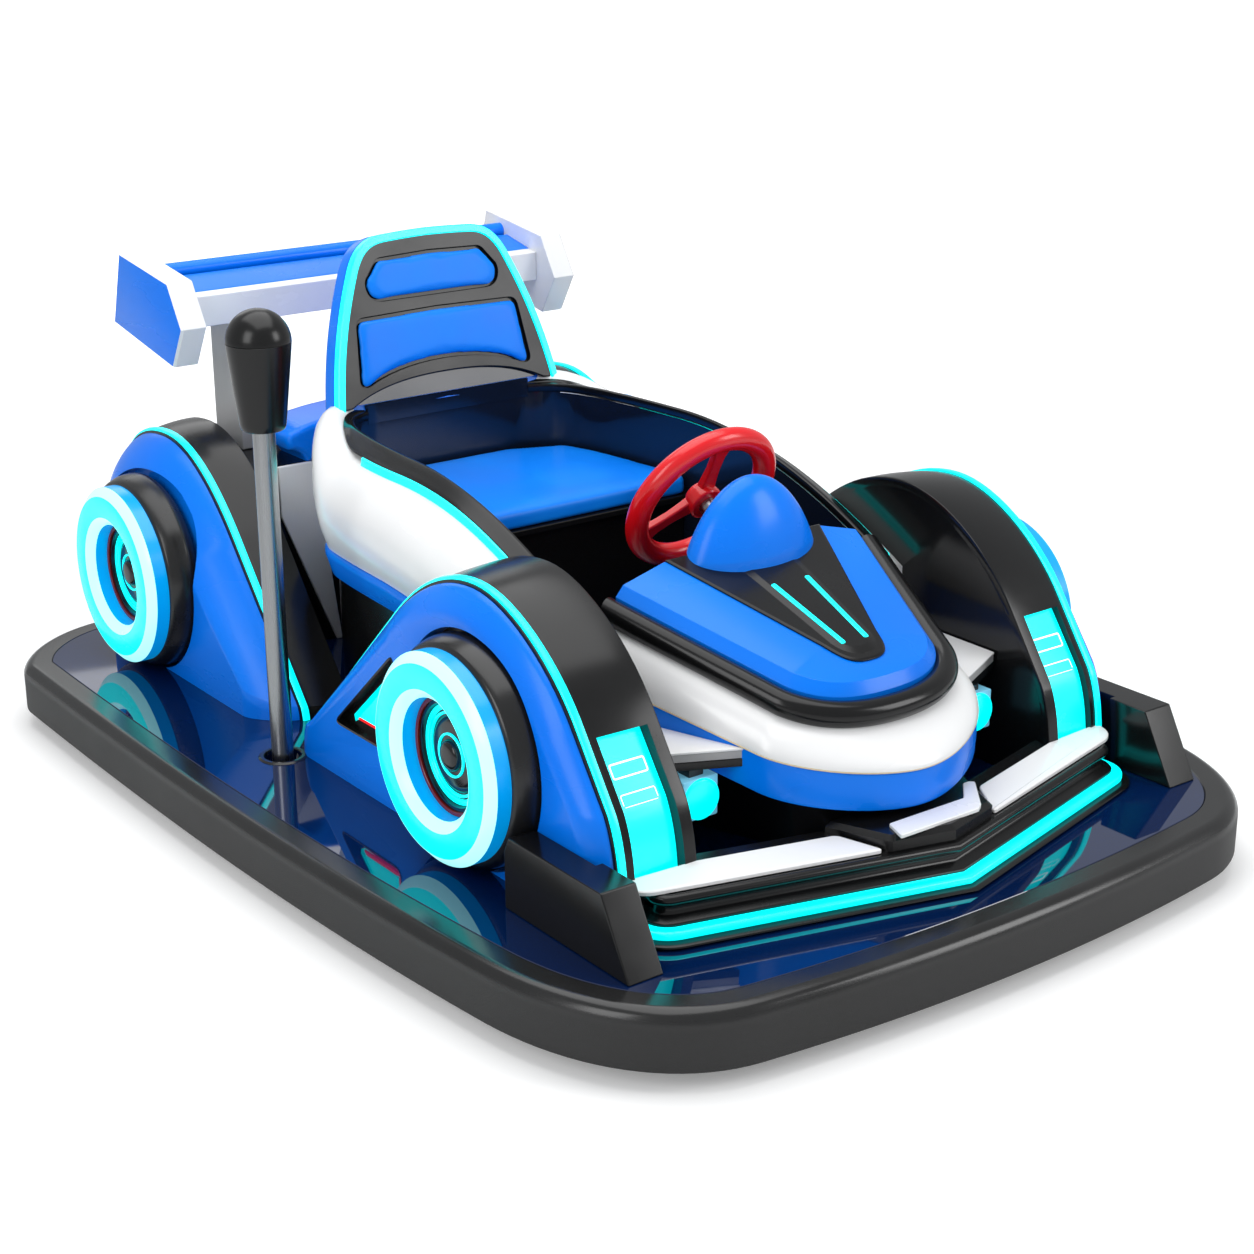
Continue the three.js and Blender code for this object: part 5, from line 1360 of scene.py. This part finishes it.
# The splitter fills the middle of the shelf, under a white bracket that holds the nose.
splitter_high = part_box("splitter")[1]
splitter_half = [Vector((0.0, -0.7745)), Vector((0.088, -0.7515)), Vector((0.093, -0.7475)),
    Vector((0.127, -0.666)), Vector((0.124, -0.66)), Vector((0.0, -0.66))]
splitter_outline = mirrored(splitter_half)
splitter_top = splitter_high.z - 0.0034
splitter = slab("splitter", splitter_outline, "Z", deck_top + 0.056, splitter_top - 0.0065,
    (splitter_top, -0.007))
settle(soften(splitter, 0.0008, 2, 15), shell_black, "shell_black", "splitter")
bracket_line = rounded([Vector(p) for p in ((-0.083, -0.761), (0.054, -0.761), (0.066, -0.753),
    (0.112, -0.696), (0.105, -0.69), (0.095, -0.69), (0.062, -0.725), (-0.071, -0.725))], 0.0025, 3)
bracket = slab("splitter_bracket", bracket_line, "Z", splitter_top - 0.0004, splitter_top + 0.0036,
    (splitter_top + 0.0046, -0.001))
settle(soften(bracket), shell_white, "shell_white")

# ---- tail --------------------------------------------------------------------------------------
# A black glass-fibre housing behind the seat, closed in front by two pointed white panels, with a
# blue rounded cover over its top that meets the back of the tub.
settle(from_frame("tail_housing", "tail_housing", 0.004), shell_black, "shell_black", "tail_housing")
for side in ("left", "right"):
    settle(from_frame(f"tail_panel_{side}", f"tail_panel_{side}", 0.0018), shell_white, "shell_white",
        f"tail_panel_{side}")
cover_low, cover_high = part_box("tail_cover")
cover_half = path((0.0, cover_low.z), [(0.208, cover_low.z)], [(0.216, cover_low.z + 0.02),
    (0.24, cover_low.z + 0.024)], [(0.25, cover_low.z + 0.042), (0.244, cover_low.z + 0.053),
    (0.232, cover_low.z + 0.054)], [(0.212, cover_low.z + 0.062), (0.176, cover_low.z + 0.066)],
    [(0.13, cover_high.z), (0.0, cover_high.z)], divisions=10)
cover = slab("tail_cover", mirrored(cover_half), "Y", (cover_low.y, -0.01), (cover_low.y + 0.002, -0.0045),
    (cover_low.y + 0.006, -0.0012), (cover_low.y + 0.012, 0.0), (cover_high.y - 0.012, 0.0),
    (cover_high.y - 0.004, -0.002), (cover_high.y, -0.007))
settle(soften(cover, angle=40), shell_blue, "shell_blue", "tail_cover")
seam_x = 0.29
for side, way in sides:
    for number, y in enumerate((0.64, 0.71)):
        screw = spin_round(f"tail_screw_{side}_{number + 1}", [(way * seam_x + r, y, deck_top + 0.3135 + z)
            for r, z in ((0, 0), (0.0075, 0), (0.0075, 0.0015), (0.006, 0.003), (0.003, 0.0034),
            (0.0026, 0.002), (0, 0.002))], (way * seam_x, y, 0), (0, 0, 1), 32)
        settle(soften(screw), bright_steel, "bright_steel")

# ---- rear wing ---------------------------------------------------------------------------------
# A white box bar in front, a blue plane rising behind it and a rolled blue rear lip with a dark
# slot before it, held between two thick end plates on two grey posts.
half_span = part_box("rear_wing")[1].x


def across(name, outline, inset=0.0):
    """A profile in (along the car, height over the deck) pushed from plate to plate."""
    points = [Vector((y, deck_top + z)) for y, z in outline]
    return slab(name, points, "X", -half_span + inset, half_span - inset)


bar = across("rear_wing_bar", [(0.642, 0.528), (0.642, 0.578), (0.648, 0.5795), (0.664, 0.5815),
    (0.668, 0.56), (0.676, 0.528)])
settle(soften(bar, 0.0016, 3), shell_white, "shell_white", "rear_wing")
plane = across("rear_wing_plane", [(0.6645, 0.5812), (0.668, 0.5828), (0.7, 0.59), (0.7325, 0.5972),
    (0.735, 0.5964), (0.735, 0.578), (0.702, 0.561), (0.6765, 0.53), (0.6685, 0.56)], 0.0002)
settle(soften(plane, 0.0006, 2, 40), shell_blue, "shell_blue", "rear_wing")
slot_bottom = across("rear_wing_slot", [(0.7352, 0.578), (0.7352, 0.5905), (0.75, 0.5905), (0.75, 0.58)],
    0.0004)
settle(soften(slot_bottom, 0.0004, 2), pocket_black, "shell_black")
lip_points = [(0.7565 + 0.0135 * math.cos(a), 0.6005 + 0.0145 * math.sin(a))
    for a in [math.radians(15 * k) for k in range(24)]]
rolled_lip = across("rear_wing_lip", lip_points, -0.0002)
settle(soften(rolled_lip, angle=40), shell_blue, "shell_blue", "rear_wing")
for side, way in sides:
    plate_low, plate_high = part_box(f"rear_end_plate_{side}")
    inner_x, outer_x = sorted((abs(plate_low.x), abs(plate_high.x)))
    outline = [Vector((y, deck_top + z)) for y, z in ((0.801, 0.632), (0.628, 0.608), (0.587, 0.54),
        (0.627, 0.473), (0.84, 0.512))]
    plate = slab(f"rear_end_plate_{side}", outline, "X", way * inner_x, way * (outer_x - 0.0036))
    settle(soften(plate, 0.0014, 3, 20), shell_white, "shell_white", f"rear_end_plate_{side}")
    face = slab(f"rear_end_plate_{side}_face", outline, "X", (way * (outer_x - 0.006), -0.004),
        (way * (outer_x - 0.0036), -0.0006), (way * outer_x, -0.002), (way * (outer_x + 0.0004), -0.0032))
    face.data.materials.append(shell_blue)
    face.data.materials.append(shell_white)
    for side_face in face.data.polygons:
        side_face.material_index = 0 if abs(side_face.normal.x) > 0.9 else 1
    only(face)
    bpy.ops.object.shade_smooth_by_angle(angle=math.radians(20))
    register(face, "shell_blue")
    settle(from_frame(f"wing_post_{side}", f"wing_post_{side}", 0.003), post_grey, "post_grey",
        f"wing_post_{side}")

# ---- hand lever --------------------------------------------------------------------------------
# A stainless tube with a moulded black plastic grip, rising through a rubber ring in the deck from
# a folded bracket under it, where it rocks on a pin.


def turned_up(name, profile, spot, steps=72):
    """A profile of (radius, height) turned round an upright line."""
    return spin_round(name, [(spot.x + r, spot.y, z) for r, z in profile], (spot.x, spot.y, 0), (0, 0, 1),
        steps)


grip_low, grip_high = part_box("lever_grip")
grip_foot, grip_top = grip_low.z, grip_high.z
grip_radius = (grip_high.x - grip_low.x) / 2
cap_centre = grip_top - grip_radius
grip_side = [(0.0163, grip_foot + 0.0005), (0.028, grip_foot + 0.0005), (0.0305, grip_foot + 0.002),
    (0.0322, grip_foot + 0.006), (0.033, grip_foot + 0.011), (grip_radius - 0.0012, cap_centre - 0.012),
    (grip_radius - 0.0003, cap_centre - 0.003), (grip_radius, cap_centre - 0.0012),
    (grip_radius - 0.0009, cap_centre - 0.0002)]
grip_cap = [(grip_radius * math.cos(a), cap_centre + grip_radius * math.sin(a))
    for a in [math.radians(90 * k / 24) for k in range(25)]]
grip_cap[-1] = (0.0, grip_top)
inside = [(0.0, grip_foot + 0.0203), (0.0163, grip_foot + 0.0203)]
grip = turned_up("lever_grip", grip_side + grip_cap + inside, lever_foot, 96)
grip_black = polished("grip_black", (0.0052, 0.0052, 0.0054), (0.004, 0.004, 0.0042), (0.24, 0.36),
    ripple=11.0, gloss=0.4)
settle(soften(grip, angle=35), grip_black, "grip_black", "lever_grip", body="hand_lever")
tube_low, tube_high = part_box("lever_tube")
tube = turned_up("lever_tube", [(0, tube_low.z), (0.0145, tube_low.z), (0.016, tube_low.z + 0.0015),
    (0.016, tube_high.z - 0.001), (0.015, tube_high.z), (0, tube_high.z)], lever_foot, 64)
tube_steel = bright_steel.copy()
tube_steel.name = "tube_steel"
settle(soften(tube), tube_steel, "bright_steel", "lever_tube", body="hand_lever")
pin_height = deck_top - 0.027
pin = bar_along("lever_pin", (lever_foot.x - 0.03, lever_foot.y, pin_height),
    (lever_foot.x + 0.03, lever_foot.y, pin_height), 0.0058)
settle(soften(pin, 0.0008, 2), bright_steel, "bright_steel", body="hand_lever")
ring_piece = turned_up("lever_grommet", [(hole_radius + out, deck_top + rise)
    for out, rise in ((0.0002, -0.003), (0.0002, 0.001), (0.0014, 0.0024), (0.006, 0.0026), (0.009, 0.0004),
    (0.009, 0.0001), (0.001, 0.0001), (0.0006, -0.003))], lever_foot, 64)
settle(soften(ring_piece), bumper_rubber, "bumper_rubber")
settle(from_frame("lever_bracket", "lever_bracket", 0.0012), frame_steel, "frame_steel", "lever_bracket")

# ---- frame -------------------------------------------------------------------------------------
# Welded square steel tube, painted: two long rails, their front end, cross members and two that
# are bolted in at the rear so that the axle can be taken out.
for node in ("chassis_frame", "rear_cross_member", "rear_end_member"):
    settle(from_frame(node, node, 0.0035), frame_steel, "frame_steel", node)


def hex_bolt(name, spot, way=(0, 0, -1), radius=0.0085):
    """A hexagon head on a washer, standing on a surface."""
    way = Vector(way)
    side = way.orthogonal().normalized()
    other = way.cross(side)
    rings = []
    for reach, rise in ((radius, 0.0018), (radius, 0.0066), (radius * 0.86, 0.0078)):
        rings.append([Vector(spot) + way * rise + (side * math.cos(a) + other * math.sin(a)) * reach
            for a in [2 * math.pi * k / 6 for k in range(6)]])
    head = draw_out(name, rings)
    washer = turned_on(f"{name}_washer", [(0, 0.0), (radius * 1.3, 0.0), (radius * 1.35, 0.0006),
        (radius * 1.3, 0.0018), (0, 0.0018)], Vector(spot), way, side, 40)
    for piece in (head, washer):
        settle(soften(piece, 0.0003, 2), bright_steel, "bright_steel")
    return head


rail_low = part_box("chassis_frame")[0].z
member_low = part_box("rear_cross_member")[0].z
bolt_spots = [(x, y, rail_low) for y in (-0.788, 0.03, -0.32, 0.6) for x in (-0.25, 0.25)]
bolt_spots += [(x, y, member_low if y > 0.5 else rail_low) for x in (-0.54, 0.54)
    for y in (-0.32, 0.03, 0.6)]
for number, spot in enumerate(bolt_spots):
    hex_bolt(f"frame_bolt_{number + 1}", spot)

# ---- drive unit --------------------------------------------------------------------------------
# A spun steel can under the nose holds a swivelling fork: its stem turns in a thrust bearing, a
# chain sprocket sits on top and a flanged motor drives the wheel from one side.
can_low, can_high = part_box("drive_housing")
can_middle = Vector((middle.x, middle.y, 0))
can_outer = (can_high.x - can_low.x) / 2
can_wall, stem_radius = 0.01, 0.014
can_profile = [(can_outer - can_wall, can_low.z), (can_outer, can_low.z), (can_outer, can_high.z - 0.008),
    (can_outer - 0.0025, can_high.z - 0.0025), (can_outer - 0.008, can_high.z),
    (stem_radius + 0.0003, can_high.z), (stem_radius + 0.0003, can_high.z - can_wall),
    (can_outer - can_wall, can_high.z - can_wall)]
can = turned_up("drive_can", can_profile, can_middle, 96)
settle(soften(can, 0.0006, 2), frame_steel, "frame_steel", "drive_housing")
settle(from_frame("drive_yoke", "drive_fork", 0.0012), frame_steel, "frame_steel", "drive_yoke",
    body="drive_unit")
tooth_count = 22
toothed = []
for k in range(tooth_count):
    for part, reach in ((0.0, 0.0372), (0.25, 0.0372), (0.42, 0.0415), (0.58, 0.0425), (0.75, 0.0415)):
        angle = 2 * math.pi * (k + part) / tooth_count
        toothed.append(Vector((can_middle.x + reach * math.cos(angle),
            can_middle.y + reach * math.sin(angle))))
sprocket = slab("drive_sprocket_teeth", toothed, "Z", (can_high.z + 0.0058, -0.001), can_high.z + 0.0068,
    can_high.z + 0.0114, (can_high.z + 0.0124, -0.001))
settle(soften(sprocket), frame_steel, "frame_steel", body="drive_unit")
along_x, upright = Vector((1, 0, 0)), Vector((0, 0, 1))
motor_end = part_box("drive_yoke")[1].x
motor_height = 0.076
for k in range(5):
    fin_x = motor_end - 0.028 + 0.0052 * k
    fin = turned_on(f"motor_fin_{k + 1}", [(0.0335, -0.001), (0.0362, -0.001), (0.0368, 0.0),
        (0.0362, 0.001), (0.0335, 0.001)], Vector((fin_x, middle.y, motor_height)), along_x, upright, 64)
    settle(soften(fin, angle=50), frame_steel, "frame_steel", body="drive_unit")

# ---- running wheels ----------------------------------------------------------------------------
# Solid rubber tyres, grooved round the tread, bonded to steel discs. The drive wheel turns in the
# fork; the two rear wheels turn on a plain steel axle between retaining rings.


def running_wheel(name, node, body, bore, axle=None):
    """A grooved tyre, a dished disc and its bolts, turning on the node's own middle."""
    low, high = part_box(node)
    centre = (low + high) / 2
    radius = (high.z - low.z) / 2
    half = (0.046 if axle else high.x - low.x) / 2
    core = radius * 0.58
    groove = []
    for k in (-1, 0, 1):
        at = k * half * 0.42
        groove += [(radius, at - 0.0016), (radius - 0.003, at - 0.001), (radius - 0.003, at + 0.001),
            (radius, at + 0.0016)]
    profile = [(core - 0.001, -half), (radius - 0.012, -half), (radius - 0.004, -half + 0.002),
        (radius - 0.001, -half + 0.006), (radius, -half + 0.0105)]
    profile += groove + [(radius, half - 0.0105), (radius - 0.001, half - 0.006),
        (radius - 0.004, half - 0.002), (radius - 0.012, half), (core - 0.001, half)]
    tyre = turned_on(f"{name}_tyre", profile, centre, along_x, upright, 96)
    settle(soften(tyre, angle=35), tyre_rubber, "tyre_rubber", node, body=body)
    disc = [(bore, -half + 0.0002), (bore + 0.008, -half + 0.0002), (bore + 0.01, -half + 0.006),
        (core - 0.006, -half + 0.006), (core - 0.004, -half + 0.0006), (core, -half + 0.0006),
        (core, half - 0.0006), (core - 0.004, half - 0.0006), (core - 0.006, half - 0.006),
        (bore + 0.01, half - 0.006), (bore + 0.008, half - 0.0002), (bore, half - 0.0002)]
    if axle:
        disc = [(0, -axle)] + [(0.0095, -axle), (0.01, -axle + 0.0005), (0.01, -half)] + disc[1:-1]
        disc += [(0.01, half), (0.01, axle - 0.0005), (0.0095, axle), (0, axle)]
    hub = turned_on(f"{name}_disc", disc, centre, along_x, upright, 72)
    settle(soften(hub, angle=35), bright_steel, "tyre_rubber", body=body)
    for k in range(5):
        angle = 2 * math.pi * k / 5
        spot = centre + Vector((0, math.cos(angle), math.sin(angle))) * (bore + core) / 2
        for way in (-1, 1):
            bolt = hex_bolt(f"{name}_bolt_{k + 1}_{'ab'[way > 0]}",
                spot + Vector((way * (half - 0.0061), 0, 0)), (way, 0, 0), 0.0042)
            for piece in (bolt, bpy.data.objects[f"{bolt.name}_washer"]):
                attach(piece, body)


drive_low, drive_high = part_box("drive_wheel")
running_wheel("drive_wheel", "drive_wheel", "drive_wheel", 0.012, (drive_high.x - drive_low.x) / 2)
axle_low, axle_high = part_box("rear_axle")
axle_radius = (axle_high.z - axle_low.z) / 2
for side in ("left", "right"):
    running_wheel(f"rear_wheel_{side}", f"rear_wheel_{side}", f"rear_wheel_{side}", axle_radius + 0.0004)
axle_end = axle_high.x
axle_profile = [(0, -axle_end), (axle_radius - 0.0015, -axle_end), (axle_radius, -axle_end + 0.0015),
    (axle_radius, axle_end - 0.0015), (axle_radius - 0.0015, axle_end), (0, axle_end)]
axle_middle = (axle_low + axle_high) / 2
axle = turned_on("rear_axle", axle_profile, axle_middle, along_x, upright, 64)
settle(soften(axle), bright_steel, "bright_steel", "rear_axle")
for side, way in sides:
    outer_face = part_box(f"rear_wheel_{side}")[1 if way > 0 else 0].x
    clip = turned_on(f"axle_ring_{side}", [(axle_radius - 0.0004, 0), (axle_radius + 0.003, 0),
        (axle_radius + 0.003, 0.0014), (axle_radius - 0.0004, 0.0014)],
        Vector((outer_face + way * 0.003, axle_middle.y, axle_middle.z)), Vector((way, 0, 0)), upright, 48)
    settle(soften(clip), bright_steel, "bright_steel")
